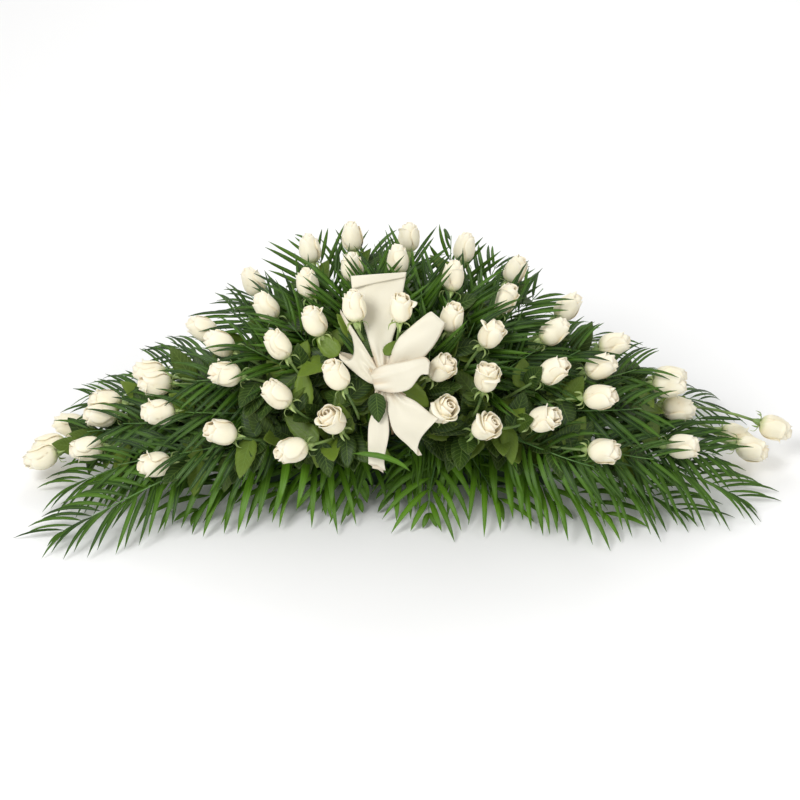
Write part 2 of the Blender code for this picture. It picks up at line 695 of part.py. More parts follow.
def stake_length(bow):
    """How long the stake is, so that its flat end just meets the bow."""
    line = stake_line()
    side, other = frame_on(line)
    tree = BVHTree.FromPolygons(
        [vertex.co for vertex in bow.data.vertices],
        [polygon.vertices for polygon in bow.data.polygons],
    )
    reach = (seen_at(*KNOT_PLACE) - STAKE_FOOT).length
    for share, corner in itertools.product((0.0, 0.5, 1.0), range(STAKE_SIDES)):
        turn = corner * math.tau / STAKE_SIDES
        out = share * STAKE_RADIUS * (math.cos(turn) * side + math.sin(turn) * other)
        distance = tree.ray_cast(STAKE_FOOT + out, line, reach)[3]
        reach = min(reach, distance or reach)
    return reach - GAP


def bundle_places():
    """The middle of the top of each bundle of stem ends, by sector name."""
    height = FOAM_TOP + 0.5 * BUNDLE_STAND
    places = {}
    for side, sign in (("left", -1.0), ("right", 1.0)):
        places[f"front_{side}"] = Vector((sign * BUNDLE_X, FRONT_BUNDLE_Y, height))
        places[f"back_{side}"] = Vector((sign * BUNDLE_X, BACK_BUNDLE_Y, height))
    return places


def build_holder(bow):
    """The plastic tray, the two bricks of foam with their plain holes, and the bow's stake."""
    outer = box_object(
        "holder_tray",
        (-TRAY_LENGTH / 2, -TRAY_WIDTH / 2, 0.0),
        (TRAY_LENGTH / 2, TRAY_WIDTH / 2, TRAY_HEIGHT),
        "tray",
    )
    inner_length = TRAY_LENGTH / 2 - TRAY_LIP - TRAY_WALL
    inner_width = TRAY_WIDTH / 2 - TRAY_LIP - TRAY_WALL
    low = (-inner_length, -inner_width, TRAY_WALL)
    high = (inner_length, inner_width, 2 * TRAY_HEIGHT)
    cut(outer, box_object("hollow", low, high, "tray"))
    solids = [outer]
    places = bundle_places()
    for side, sign in (("left", -1.0), ("right", 1.0)):
        near = sign * GAP
        far = sign * (GAP + BRICK_LENGTH)
        brick = box_object(
            f"foam_brick_{side}",
            (min(near, far), -BRICK_WIDTH / 2, TRAY_WALL + GAP),
            (max(near, far), BRICK_WIDTH / 2, FOAM_TOP),
            "foam",
        )
        for row in ("front", "back"):
            top = places[f"{row}_{side}"].copy()
            top.z = FOAM_TOP + 0.02
            floor = top.copy()
            floor.z = FOAM_TOP - BUNDLE_DEPTH - GAP
            hole = tube("hole", [floor, top], [BUNDLE_RADIUS + 2 * GAP] * 2, 12, "foam")
            cut(brick, hole)
        if side == "left":
            hole_path = [STAKE_FOOT - GAP * stake_line(), STAKE_FOOT + BRICK_HEIGHT * stake_line()]
            cut(brick, tube("hole", hole_path, [STAKE_RADIUS + 2 * GAP] * 2, STAKE_SIDES, "foam"))
        solids.append(brick)
    stake = [STAKE_FOOT, STAKE_FOOT + stake_length(bow) * stake_line()]
    solids.append(tube("bow_stake", stake, [STAKE_RADIUS] * 2, STAKE_SIDES, "wood"))
    return solids


def share_between(value, start, end):
    """0 at the start, 1 at the end and straight between them."""
    return min(max((value - start) / (end - start), 0.0), 1.0)


def right_of_middle(point):
    """How far a point lies right of the surface that parts left from right."""
    step = share_between(point.z, *STEP_HEIGHTS) * share_between(point.y, *STEP_DEPTHS)
    return point.x - MIDDLE_OFFSET - MIDDLE_SLANT * point.y + STEP_ASIDE * step


class Sector:
    """A part of the greenery that keeps to its own side of two surfaces."""

    def __init__(self, name):
        self.name = name
        self.left = -1.0 if name.endswith("left") else 1.0
        self.front = name.startswith("front")
        self.root = bundle_places()[name]

    def room(self, point):
        """How far a point lies inside the sector; below zero it is outside."""
        middle = right_of_middle(point) / math.hypot(1.0, MIDDLE_SLANT)
        rear = point.y - REAR_OFFSET - REAR_SLOPE * (point.z - FOAM_TOP) - REAR_FAN * abs(point.x)
        rear /= math.hypot(1.0, REAR_SLOPE, REAR_FAN)
        return min(self.left * middle, -rear if self.front else rear)

    def on_its_side(self, point):
        return self.left * right_of_middle(point) > 0.0


class Obstacles:
    """Solids that leaves and stems are bent clear of."""

    def __init__(self, objects=()):
        self.points = []
        self.faces = []
        self.tree = None
        for obj in objects:
            self.add(obj)

    def add(self, obj):
        start = len(self.points)
        self.points.extend(vertex.co.copy() for vertex in obj.data.vertices)
        self.faces.extend([start + i for i in polygon.vertices] for polygon in obj.data.polygons)
        self.tree = None

    def clear(self, line, clearance):
        if not self.faces:
            return True
        if self.tree is None:
            self.tree = BVHTree.FromPolygons(self.points, self.faces)
        for a, b in zip(line, line[1:]):
            length = (b - a).length
            if length < 1e-6:
                continue
            if self.tree.ray_cast(a, (b - a) / length, length)[0] is not None:
                return False
            samples = max(2, int(length / 0.012))
            for i in range(1, samples + 1):
                if self.tree.find_nearest(a.lerp(b, i / samples), clearance)[0] is not None:
                    return False
        return True


class Surroundings:
    """The fixed solids round the greenery, and the greenery of one sector as it grows."""

    def __init__(self, sector, fixed):
        self.sector = sector
        self.fixed = fixed
        self.grown = Obstacles()

    def allow(self, lines, clearance, grown_clearance=GROWN_CLEARANCE, skip=0):
        """Whether lines stay in the sector, over the floor and clear; the grown part is
        tested from the point numbered skip."""
        for line in lines:
            for point in line[1:]:
                if point.z < FLOOR_CLEARANCE or self.sector.room(point) < BLADE_CLEARANCE:
                    return False
            if not self.fixed.clear(line, clearance):
                return False
            if not self.grown.clear(line[skip:], grown_clearance):
                return False
        return True


def stem_path(head, sector, sway, steps):
    """The bent stem of a rose, from its bundle to its head."""
    end = head.foot - (GAP + CALYX_DEPTH) * head.axis
    reach = (end - sector.root).length
    start_line = (end - sector.root).normalized()
    start = sector.root + BUNDLE_SPREAD * Vector((start_line.x, start_line.y, 0.5 * start_line.z))
    start_line.z = max(start_line.z, 0.12)
    first = start + 0.35 * reach * start_line.normalized() + sway
    second = end - 0.30 * reach * head.axis + 0.5 * sway
    second.z = max(second.z, 0.012)
    return bezier(start, first, second, end, steps)


def rings_of_sways(axis, sizes):
    """Offsets square to an axis, from none at all to rings of growing size."""
    side, other = frame_on(axis)
    sways = [Vector()]
    for size, turn in itertools.product(sizes, range(SWAY_TURNS)):
        angle = turn * math.tau / SWAY_TURNS
        sways.append(size * (math.cos(angle) * side + math.sin(angle) * other))
    return sways


def stem_segments(head, sector):
    """A short stem has one bend and a long one has two."""
    return 2 if (head.foot - sector.root).length < SHORT_STEM else 3


def clear_sway(head, around):
    """How far a stem is bent aside to pass the heads and the other stems."""
    sways = rings_of_sways(head.axis, STEM_SWAYS)
    for grown_clearance in (STEM_RADIUS, 0.0):
        for sway in sways:
            trial = stem_path(head, around.sector, sway, 12)
            chords = stem_path(head, around.sector, sway, stem_segments(head, around.sector))
            skip = 4 if grown_clearance else 10
            if not around.allow([trial], STEM_RADIUS + 0.0015, grown_clearance, skip):
                continue
            if around.allow([chords], STEM_RADIUS + 0.0010, 0.0, len(chords)):
                return sway
    print("stem", head.number, "isn't clear")
    return Vector()


def rose_stem(head, around, collection):
    """Stem and calyx of a rose in one solid, bent clear of the other heads."""
    sector = around.sector
    path = stem_path(head, sector, clear_sway(head, around), stem_segments(head, sector))
    side, _ = frame_on(head.axis)
    points = []
    for index, point in enumerate(path):
        ahead = (path[min(index + 1, len(path) - 1)] - path[max(index - 1, 0)]).normalized()
        side = (side - side.dot(ahead) * ahead).normalized()
        other = side.cross(ahead)
        for corner in range(PETALS):
            turn = corner * math.tau / PETALS
            points.append(point + STEM_RADIUS * (math.cos(turn) * side + math.sin(turn) * other))
    faces = [tuple(range(PETALS))]
    for index in range(len(path) - 1):
        for corner in range(PETALS):
            a = index * PETALS + corner
            b = index * PETALS + (corner + 1) % PETALS
            faces.append((a, b, b + PETALS, a + PETALS))
    neck = len(path) * PETALS - PETALS
    side = (side - side.dot(head.axis) * head.axis).normalized()
    other = side.cross(head.axis)
    seat = head.foot - GAP * head.axis
    notches = len(points)
    for corner in range(PETALS):
        turn = (corner - 0.5) * math.tau / PETALS
        points.append(seat + CALYX_NECK * (math.cos(turn) * side + math.sin(turn) * other))
    tips = len(points)
    for corner in range(PETALS):
        turn = corner * math.tau / PETALS
        out = math.cos(turn) * side + math.sin(turn) * other
        tip = seat + SEPAL_REACH * out - SEPAL_DROP * head.axis
        close = seat + 1.2 * CALYX_NECK * out - 0.5 * SEPAL_DROP * head.axis
        for _ in range(12):
            if around.allow([[close, tip]], BLADE_CLEARANCE, 0.0):
                break
            tip = tip.lerp(close, 0.2)
        points.append(tip)
    faces.append(tuple(notches + corner for corner in range(PETALS)))
    for corner in range(PETALS):
        before = notches + corner
        after = notches + (corner + 1) % PETALS
        tip = tips + corner
        base = neck + corner
        next_base = neck + (corner + 1) % PETALS
        faces.append((before, tip, after))
        faces.append((before, base, tip))
        faces.append((tip, base, after))
        faces.append((after, base, next_base))
    around.grown.add(mesh_object(f"stem_{head.number}", points, faces, "green", collection))
    return path


class LeafFrame:
    """The axes of a rose leaf: along its rib, across it and up from its face."""

    def __init__(self, root, line, face, length):
        self.root = root
        self.line = line
        self.face = face
        self.side = line.cross(face).normalized()
        self.length = length

    def at(self, shares, sign=1.0):
        """The point at shares of the length along, and of the width across and up."""
        along_rib, across, up = shares
        point = self.root + along_rib * self.length * self.line
        return point + LEAF_WIDTH * (sign * across * self.side + up * self.face)


def blade(name, leaf, collection):
    """A rose leaf: an outline folded along its rib, thick at the rib."""
    outline = [
        leaf.at(LEAF_BASE, -1.0),
        leaf.at(LEAF_BASE),
        leaf.at(LEAF_SHOULDER),
        leaf.at(LEAF_WAIST),
        leaf.at(LEAF_TIP),
        leaf.at(LEAF_WAIST, -1.0),
        leaf.at(LEAF_SHOULDER, -1.0),
    ]
    middle = leaf.at(LEAF_MIDDLE)
    face = leaf.face
    points = outline + [middle + 0.5 * LEAF_THICKNESS * face, middle - 0.5 * LEAF_THICKNESS * face]
    count = len(outline)
    faces = []
    for index in range(count):
        following = (index + 1) % count
        faces.append((index, following, count))
        faces.append((following, index, count + 1))
    return mesh_object(name, points, faces, "green", collection)


def leaf_lines(leaf):
    """Lines along, round and across a rose leaf, to test where it passes."""
    start = leaf.root + 0.006 * leaf.line
    tip = leaf.at(LEAF_TIP)
    lines = [[start, leaf.at((0.5, 0.0, 0.0)), tip]]
    edges = []
    for sign in (-1.0, 1.0):
        near = leaf.at(LEAF_SHOULDER, sign)
        far = leaf.at(LEAF_WAIST, sign)
        edges.append((near, far))
        lines.append([start, near, far, tip])
    for left, right in zip(*edges):
        lines.append([left, right])
    lines.append([edges[0][0].lerp(edges[0][1], 0.5), edges[1][0].lerp(edges[1][1], 0.5)])
    return lines


def rose_leaves(head, path, around, chance, collection):
    """Leaves on a rose stem, each turned until it is clear."""
    total = path_length(path)
    for index in range(LEAVES_PER_ROSE):
        share = LEAFY_ROSES[head.number] + 0.10 * index
        root, ahead = along(path, share * total)
        outward = Vector((0.25 * root.x, root.y, root.z)).normalized()
        side = ahead.cross(outward).normalized()
        length = chance.uniform(*LEAF_LENGTHS)
        for turn in range(12):
            angle = math.radians(35 + 150 * index + 30 * turn)
            line = 0.45 * ahead + math.cos(angle) * side + 0.5 * math.sin(angle) * outward
            line.normalize()
            face = (outward - outward.dot(line) * line).normalized()
            leaf = LeafFrame(root, line, face, length)
            if around.allow(leaf_lines(leaf), BLADE_CLEARANCE):
                around.grown.add(blade(f"leaf_{head.number}_{index}", leaf, collection))
                break


def clear_leaflet(a, b, keel, rib, size, turn, droop, around):
    """The points of the longest leaflet that is clear on some tilt, or None."""
    for share, tilt in itertools.product(LEAFLET_SHARES, LEAFLET_TILTS):
        c, d, m, tip = leaflet(a, b, rib, share * size, turn, math.radians(tilt), droop)
        lines = [
            [a.lerp(c, 0.12), c, tip],
            [b.lerp(d, 0.12), d, tip],
            [keel.lerp(m, 0.15), m, tip],
        ]
        lines.extend([[a.lerp(c, part), b.lerp(d, part)] for part in (0.33, 0.66, 1.0)])
        lines.extend([[c.lerp(tip, part), d.lerp(tip, part)] for part in (0.33, 0.66)])
        if around.allow(lines, BLADE_CLEARANCE):
            return c, d, m, tip
    return None


def leaflet(a, b, rib, length, turn, lift, droop):
    """The points of a leaflet: two at its widest, its keel and its tip."""
    ahead, side, face = rib
    root = (a + b) / 2
    out = math.cos(lift) * side + math.sin(lift) * face
    line = math.cos(turn) * ahead + math.sin(turn) * out
    half = 0.5 * LEAFLET_WIDTH / max(math.sin(turn), 0.45)
    half = min(half, 0.47 * (b - a).length)
    middle = root + 0.42 * length * line
    bent = lift - droop
    far = math.cos(0.85 * turn) * ahead
    far += math.sin(0.85 * turn) * (math.cos(bent) * side + math.sin(bent) * face)
    tip = middle + 0.58 * length * (far - 0.25 * UP).normalized()
    along_rib = (b - a).normalized()
    across = line.cross(along_rib)
    under = across.normalized() if across.dot(face) < 0 else -across.normalized()
    return middle - half * along_rib, middle + half * along_rib, middle + RIB_DEPTH * under, tip


def leafy_run(path, run):
    return min(run, 0.8 * path_length(path))


def frond(name, path, run, longest, pairs, facing, around, chance, collection):
    """A palm frond: one rib with leaflets cut to it, each lifted or dropped until it is clear."""
    total = path_length(path)
    run = leafy_run(path, run)
    stations = []
    for index in range(pairs + 1):
        point, ahead = along(path, total - run + run * index / pairs)
        stations.append((point, ahead))
    petiole = [along(path, share * (total - run)) for share in PETIOLE_SHARES]
    points = []
    faces = []

    def add(point):
        points.append(point)
        return len(points) - 1

    def frame_at(ahead):
        side = ahead.cross(facing).normalized()
        return side, side.cross(ahead).normalized()

    sections = []
    for point, ahead in petiole:
        side, face = frame_at(ahead)
        left = add(point - RACHIS_HALF * side)
        right = add(point + RACHIS_HALF * side)
        sections.append((left, right, add(point - RACHIS_DEPTH * face)))
    faces.append(sections[0])
    lefts = []
    rights = []
    for index, (point, ahead) in enumerate(stations):
        side, face = frame_at(ahead)
        half = RACHIS_HALF * (1.0 - 0.5 * index / pairs)
        lefts.append(add(point - half * side))
        rights.append(add(point + half * side))
    keels = []
    for index in range(pairs):
        point, ahead = along(path, total - run + run * (index + 0.5) / pairs)
        side, face = frame_at(ahead)
        keels.append(add(point - RACHIS_DEPTH * (1.0 - 0.4 * index / pairs) * face))
    point, ahead = stations[0]
    side, face = frame_at(ahead)
    neck = add(point - RACHIS_DEPTH * face)
    sections.append((lefts[0], rights[0], neck))
    for (l0, r0, k0), (l1, r1, k1) in zip(sections, sections[1:]):
        faces.extend([(l0, r0, r1, l1), (r0, k0, k1, r1), (k0, l0, l1, k1)])
    chain = [neck] + keels
    for index in range(pairs):
        faces.append((lefts[index], rights[index], rights[index + 1], lefts[index + 1]))
        faces.append((lefts[index], chain[index], chain[index + 1]))
        faces.append((rights[index], chain[index + 1], chain[index]))
    faces.append((lefts[-1], rights[-1], keels[-1]))

    for index in range(pairs):
        share = (index + 0.5) / pairs
        point, ahead = along(path, total - run + run * share)
        side, face = frame_at(ahead)
        turn = math.radians(62 - 36 * share)
        size = longest * (0.62 + 0.9 * share * (1.0 - share) + 0.16 * (1.0 - share))
        for sign, edge in ((-1.0, lefts), (1.0, rights)):
            a, b = points[edge[index]], points[edge[index + 1]]
            keel = points[keels[index]]
            base_droop = math.radians(16 + 12 * chance.random())
            rib = (ahead, sign * side, face)
            found = clear_leaflet(a, b, keel, rib, size, turn, base_droop, around)
            if found is None:
                faces.append((edge[index], edge[index + 1], keels[index]))
                continue
            c, d, m, tip = (add(p) for p in found)
            first, second, low = edge[index], edge[index + 1], keels[index]
            faces.extend([(first, c, d, second), (c, tip, d)])
            faces.extend([(first, low, m), (first, m, c), (low, second, d), (low, d, m)])
            faces.extend([(c, m, tip), (m, d, tip)])
    around.grown.add(mesh_object(name, points, faces, "green", collection))


def front_frond_path(row, sector):
    """The rib of a front frond from its bundle, and the way that its upper face looks."""
    across, rise, height, turn, lean = row[1:6]
    if height is None:
        end = on_dome(across, rise, 0.93)
        if end.z < LOWEST_HEAD:
            end = with_height(end, LOWEST_HEAD)
        facing = (Vector((0.3 * end.x, end.y, end.z)).normalized() + 0.5 * TOWARD).normalized()
    else:
        end = with_height(seen_at(across, rise, 0.0), height)
        facing = (UP + 0.4 * TOWARD).normalized()
    heading = direction(turn, lean)
    if height is not None:
        heading.z = max(heading.z, -0.30)
        heading.normalize()
    reach = (end - sector.root).length
    first = sector.root + 0.30 * reach * ((end - sector.root).normalized() + 0.55 * UP).normalized()
    second = end - 0.36 * reach * heading
    return bezier(sector.root, first, second, end, 16), facing


def back_frond_path(end, sector):
    end = Vector(end)
    out = Vector((end.x - sector.root.x, end.y - sector.root.y, 0.0)).normalized()
    reach = (end - sector.root).length
    low = end.z < 0.1
    heading = (out + (-0.35 if low else 0.35) * UP).normalized()
    first = sector.root + 0.34 * reach * (0.8 * out + UP).normalized()
    second = end - 0.34 * reach * heading
    facing = (UP + (0.6 if low else 1.2) * out).normalized()
    return bezier(sector.root, first, second, end, 16), facing


def eased_rib(path, run, around):
    """The rib bent aside in growing steps until it is clear."""
    reach = (path[-1] - path[0]).length
    sways = rings_of_sways((path[-1] - path[0]).normalized(), [reach * size for size in RIB_SWAYS])
    for skip, slide in itertools.product((5, 9, 16), RIB_SLIDES):
        for sway in sways:
            trial = []
            for index, point in enumerate(path):
                share = index / (len(path) - 1)
                bent = math.sin(math.pi * share) * (0.6 + 0.4 * share) * sway
                trial.append(point + bent + slide * share * share * TOWARD)
            bare = path_length(trial) - leafy_run(trial, run)
            chords = [along(trial, share * bare)[0] for share in (*PETIOLE_SHARES, 1.0)]
            if not around.allow([chords], RACHIS_DEPTH + 0.001, 0.0, len(chords)):
                continue
            if around.allow([trial], RACHIS_DEPTH + 0.001, RACHIS_DEPTH, skip):
                return trial
    return None


def frond_rows(sector):
    """Path, facing and sizes of each frond that belongs to a sector."""
    for row in FRONT_FRONDS if sector.front else BACK_FRONDS:
        if sector.front:
            path, facing = front_frond_path(row, sector)
        else:
            path, facing = back_frond_path(row[1], sector)
        if sector.on_its_side(path[-1]):
            yield (row[0], path, facing, *row[-3:])


def build_sector(name, heads, fixed):
    """All greenery of one sector fused into one solid with its bundle of stem ends."""
    sector = Sector(name)
    around = Surroundings(sector, fixed)
    chance = random.Random(len(name))
    parts = new_collection(name + " parts")
    paths = {}
    for head in heads:
        calyx = head.foot - CALYX_DEPTH * head.axis
        if sector.front and sector.on_its_side(calyx):
            paths[head.number] = rose_stem(head, around, parts)
    for head in heads:
        if head.number in paths and head.number in LEAFY_ROSES:
            rose_leaves(head, paths[head.number], around, chance, parts)
    for label, path, facing, run, longest, pairs in frond_rows(sector):
        clear_path = eased_rib(path, run, around)
        if clear_path is None:
            print("frond", label, "isn't clear")
            continue
        frond("frond_" + label, clear_path, run, longest, pairs, facing, around, chance, parts)
    foot = sector.root.copy()
    foot.z = FOAM_TOP - BUNDLE_DEPTH
    top = sector.root + 0.5 * BUNDLE_STAND * UP
    radii = [BUNDLE_RADIUS, BUNDLE_RADIUS, 0.6 * BUNDLE_RADIUS]
    bundle = tube("bundle", [foot, sector.root, top], radii, 12, "green")
    return union(bundle, parts, "greens_" + name)


def main():
    clear_scene()
    heads = [Head(*row) for row in ROSES]
    ease_apart(heads)
    solids = build_heads(heads)
    bow = build_bow()
    solids.append(bow)
    solids.extend(build_holder(bow))
    fixed = Obstacles(solids)
    for name in ("front_left", "front_right", "back_left", "back_right"):
        fixed.add(build_sector(name, heads, fixed))


main()
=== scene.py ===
"""Casket spray, its finished looks: white roses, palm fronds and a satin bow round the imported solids.

Metres, +Z up, +X along the spray, -Y towards the person who looks at it. The places and the
rules of growth are those of the solids, and a bent stem, leaf or rib is recognised by the
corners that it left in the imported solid. The tables of roses, fronds, crest and ribbon bands
are in millimetres.
"""

import logging
from collections.abc import Callable, Iterator, Sequence
from dataclasses import dataclass, field
from enum import Enum
from itertools import combinations, pairwise, product, takewhile
from math import acos, atan2, cos, exp, hypot, pi, radians, sin, sqrt, tau
from random import Random
from typing import ClassVar

import bpy
import numpy as np
from bpy.types import ID, Material, Mesh, Node, NodeSocket, NodeTree, Object
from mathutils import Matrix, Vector
from mathutils.kdtree import KDTree


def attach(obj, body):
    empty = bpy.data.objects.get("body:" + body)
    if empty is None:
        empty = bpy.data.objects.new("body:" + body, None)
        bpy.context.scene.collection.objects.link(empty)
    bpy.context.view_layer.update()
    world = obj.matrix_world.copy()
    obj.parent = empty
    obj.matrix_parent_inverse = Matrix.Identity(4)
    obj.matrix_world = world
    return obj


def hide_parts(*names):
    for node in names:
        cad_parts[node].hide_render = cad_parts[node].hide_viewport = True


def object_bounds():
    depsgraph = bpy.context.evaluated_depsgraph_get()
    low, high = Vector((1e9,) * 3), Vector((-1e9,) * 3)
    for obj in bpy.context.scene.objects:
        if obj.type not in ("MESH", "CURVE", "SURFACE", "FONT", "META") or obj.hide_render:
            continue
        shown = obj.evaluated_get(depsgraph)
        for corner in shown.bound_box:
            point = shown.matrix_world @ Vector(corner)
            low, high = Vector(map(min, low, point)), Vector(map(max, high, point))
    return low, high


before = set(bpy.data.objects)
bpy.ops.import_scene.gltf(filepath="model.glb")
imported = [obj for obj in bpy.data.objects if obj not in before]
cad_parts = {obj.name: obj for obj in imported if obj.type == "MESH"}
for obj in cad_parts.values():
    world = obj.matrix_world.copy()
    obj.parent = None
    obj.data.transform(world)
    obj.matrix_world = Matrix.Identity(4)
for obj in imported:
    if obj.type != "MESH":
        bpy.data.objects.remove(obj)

CAD_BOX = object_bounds()
Points = Sequence[Vector]
LOG = logging.getLogger("casket spray")
BODY = "root"
MM = 1000.0

# View from which the places were read
LOOK_DOWN = radians(35.0)
ACROSS = Vector((1.0, 0.0, 0.0))
UPWARD = Vector((0.0, sin(LOOK_DOWN), cos(LOOK_DOWN)))
TOWARD = Vector((0.0, -cos(LOOK_DOWN), sin(LOOK_DOWN)))
UP = Vector((0.0, 0.0, 1.0))

GAP = 0.0003
GOLDEN_TURN = 2.399
SAME_CORNER = 0.0001
LOWEST_LEAFLET = 0.0022

# Rose heads 1, 2 and so on: across, rise, turn on the view (0 right, 90 up), lean towards the eye,
# how far out of the dome it stands, how far it is open in tenths
ROSES = (
    (-620, 6, 195, 5, 0, 3), (-606, 34, 185, -5, -20, 3), (-576, 57, 170, -10, 0, 2),
    (-539, 24, 187, 10, 10, 4), (-511, 108, 175, 0, -12, 3), (-518, 74, 180, 10, 8, 4),
    (-434, 160, 170, -10, -12, 2), (-418, 127, 178, 10, 0, 3), (-412, 86, 183, 15, 10, 4),
    (-418, -2, 185, 15, 0, 5), (-342, 229, 153, 0, -8, 2), (-309, 203, 152, 5, 6, 3),
    (-298, 150, 170, 10, 0, 4), (-304, 53, 165, 25, 0, 5), (-257, 312, 120, 0, 0, 2),
    (-230, 266, 125, 10, 0, 3), (-208, 201, 125, 15, 0, 4), (-209, 117, 140, 20, 0, 5),
    (-185, 22, 195, 20, 0, 4), (-158, 369, 100, 0, 0, 2), (-159, 307, 100, 10, 0, 4),
    (-147, 240, 115, 15, 0, 4), (-110, 150, 120, 25, 22, 5), (-117, 75, 130, 45, 0, 9),
    (-86, 389, 95, 0, -10, 2), (-84, 333, 95, 5, -6, 3), (-79, 264, 97, 10, 36, 2), (12, 388, 90, 0, 0, 3),
    (-7, 345, 90, 0, -10, 2), (-2, 262, 85, 25, 36, 7), (84, 247, 75, 25, 0, 6), (68, 161, 40, 30, -4, 9),
    (70, 91, 35, 45, 0, 10), (108, 370, 78, 0, 0, 2), (86, 317, 80, 5, 0, 3), (196, 333, 60, 5, 0, 4),
    (175, 280, 62, 10, 0, 4), (151, 218, 50, 20, 0, 8), (141, 147, 75, 30, 0, 9), (141, 63, 30, 40, 0, 9),
    (283, 266, 45, 0, 0, 2), (257, 223, 35, 0, -6, 2), (254, 156, 30, 15, 0, 4), (238, 75, 15, 25, 0, 5),
    (362, 201, 15, 0, 0, 3), (336, 163, 20, 10, 0, 4), (333, 111, 3, 15, 0, 4), (340, 21, -3, 20, 0, 6),
    (463, 148, 5, -5, -14, 2), (454, 120, -5, 5, 6, 3), (474, 98, -10, 0, -34, 3), (478, 27, 0, 10, 0, 6),
    (590, 59, -20, -5, -12, 3), (612, 21, -15, 5, 10, 4), (628, 40, -20, 0, -40, 3),
)
TOUCHING_HEADS = ((1, 2), (5, 6), (7, 8), (49, 50), (53, 54))

# Front fronds: end of the rib across and up the view, turn, lean, run of the rib with leaflets,
# longest leaflet, pairs, and the height of the end where it doesn't lie on the dome
FRONT_FRONDS = (
    (-180, 284, 118, -5, 160, 120, 6), (-224, 262, 150, -5, 150, 115, 6), (-118, 310, 108, -5, 140, 110, 6),
    (-50, 312, 95, -8, 160, 115, 6), (60, 302, 78, -5, 170, 115, 6), (140, 276, 60, -5, 150, 115, 6),
    (206, 268, 38, -5, 170, 130, 6), (236, 196, 22, 0, 140, 120, 6), (398, 158, 18, -5, 170, 120, 6),
    (512, 79, 0, -5, 180, 120, 6), (575, -62, -24, -5, 260, 150, 8, 14), (-524, 100, 165, -5, 160, 110, 6),
    (-540, 52, 178, -5, 180, 110, 6), (-415, 162, 155, -8, 160, 120, 6), (-292, 258, 152, -5, 170, 130, 6),
    (-345, 138, 182, 0, 160, 110, 6), (-20, 240, 80, -30, 160, 110, 6, 280),
    (55, 230, 100, -30, 160, 110, 6, 260), (-575, -118, 222, -10, 240, 130, 7, 12),
    (-560, -38, 208, -5, 180, 120, 6, 30), (-470, -36, 196, -5, 240, 170, 8, 45),
    (-280, -30, 218, -8, 200, 160, 6, 50), (-136, -55, 262, -10, 180, 150, 6, 26),
    (46, -95, 272, -14, 180, 130, 7, 12), (-78, -70, 258, -12, 160, 120, 6, 18),
    (-14, -62, 262, -10, 150, 105, 6, 22), (12, 12, 268, 5, 120, 100, 5, 92),
    (-212, -60, 244, -10, 170, 140, 6, 20), (-356, -90, 246, -8, 220, 150, 7, 14),
    (170, -70, 286, -10, 180, 140, 6, 22), (262, -78, 282, -10, 170, 140, 6, 18),
    (352, -94, 300, -10, 200, 150, 7, 14), (476, -84, 312, -8, 200, 140, 6, 14),
)
# The front fronds that have few broad leaflets, by their place in the table
BROAD_FRONDS = {*range(20, 32)} - {26}

# Finer fronds that fill the dome between and under the heads: the same columns
FILL_FRONDS = (
    (12, 338, 88, -8, 170, 120, 6), (34, 296, 78, -5, 160, 120, 6), (-34, 300, 98, -5, 160, 120, 6),
    (110, 286, 66, -5, 160, 120, 6), (-100, 284, 108, -5, 160, 120, 6), (170, 230, 42, 0, 160, 120, 6),
    (-190, 236, 132, 0, 160, 120, 6), (52, 210, 74, 0, 160, 115, 6), (-56, 190, 112, 0, 160, 115, 6),
    (300, 190, 28, 0, 170, 120, 6), (404, 92, 6, 0, 180, 115, 6), (424, 6, -6, 0, 180, 115, 6),
    (322, -6, -14, 0, 170, 120, 6), (536, 12, -10, 0, 180, 110, 6), (-262, 196, 154, 0, 170, 120, 6),
    (-364, 86, 176, 0, 170, 120, 6), (-374, 16, 188, 0, 180, 115, 6), (-474, 66, 180, 0, 180, 115, 6),
    (-482, -4, 190, 0, 180, 115, 6), (8, -22, 270, 0, 140, 105, 6, 50), (-50, -12, 258, 0, 140, 105, 6, 56),
    (14, 20, 270, 10, 130, 100, 6, 85), (100, -12, 278, 0, 140, 105, 6, 54),
    (158, -6, 290, 0, 140, 105, 6, 56),
)

# Back fronds: end of the rib, run, longest leaflet, pairs
BACK_FRONDS = (
    (-500, 170, 30, 240, 150, 7), (-340, 235, 22, 220, 150, 6), (-185, 262, 18, 200, 150, 6),
    (-30, 270, 18, 180, 140, 6), (125, 268, 18, 180, 140, 6), (270, 252, 20, 200, 150, 6),
    (410, 205, 26, 220, 150, 6), (530, 130, 36, 240, 140, 7), (-270, 205, 215, 200, 140, 6),
    (-60, 215, 285, 200, 140, 6), (165, 210, 270, 200, 140, 6), (360, 175, 160, 200, 140, 6),
    (-165, 185, 355, 220, 140, 6), (85, 185, 365, 220, 140, 6), (270, 165, 280, 220, 140, 6),
    (-400, 165, 130, 220, 140, 6), (10, 210, 150, 180, 120, 6), (215, 185, 75, 180, 120, 6),
    (-215, 190, 90, 180, 120, 6),
)

# Finer back fronds: the same columns
BACK_FILL_FRONDS = (
    (-6, 285, 20, 190, 140, 8), (-70, 190, 190, 170, 130, 7), (55, 190, 190, 170, 130, 7),
    (-20, 180, 250, 170, 130, 7), (-160, 190, 150, 170, 130, 7), (150, 190, 150, 170, 130, 7),
    (10, 230, 110, 170, 130, 7), (-260, 190, 110, 180, 130, 7), (260, 190, 110, 180, 130, 7),
    (-10, 140, 130, 150, 120, 7), (25, 130, 180, 150, 120, 7), (-45, 130, 210, 150, 120, 7),
    (20, 125, 275, 190, 130, 9), (0, 170, 215, 190, 130, 9), (50, 165, 235, 190, 130, 9),
    (5, 145, 300, 170, 120, 9), (-15, 110, 280, 170, 120, 9),
)

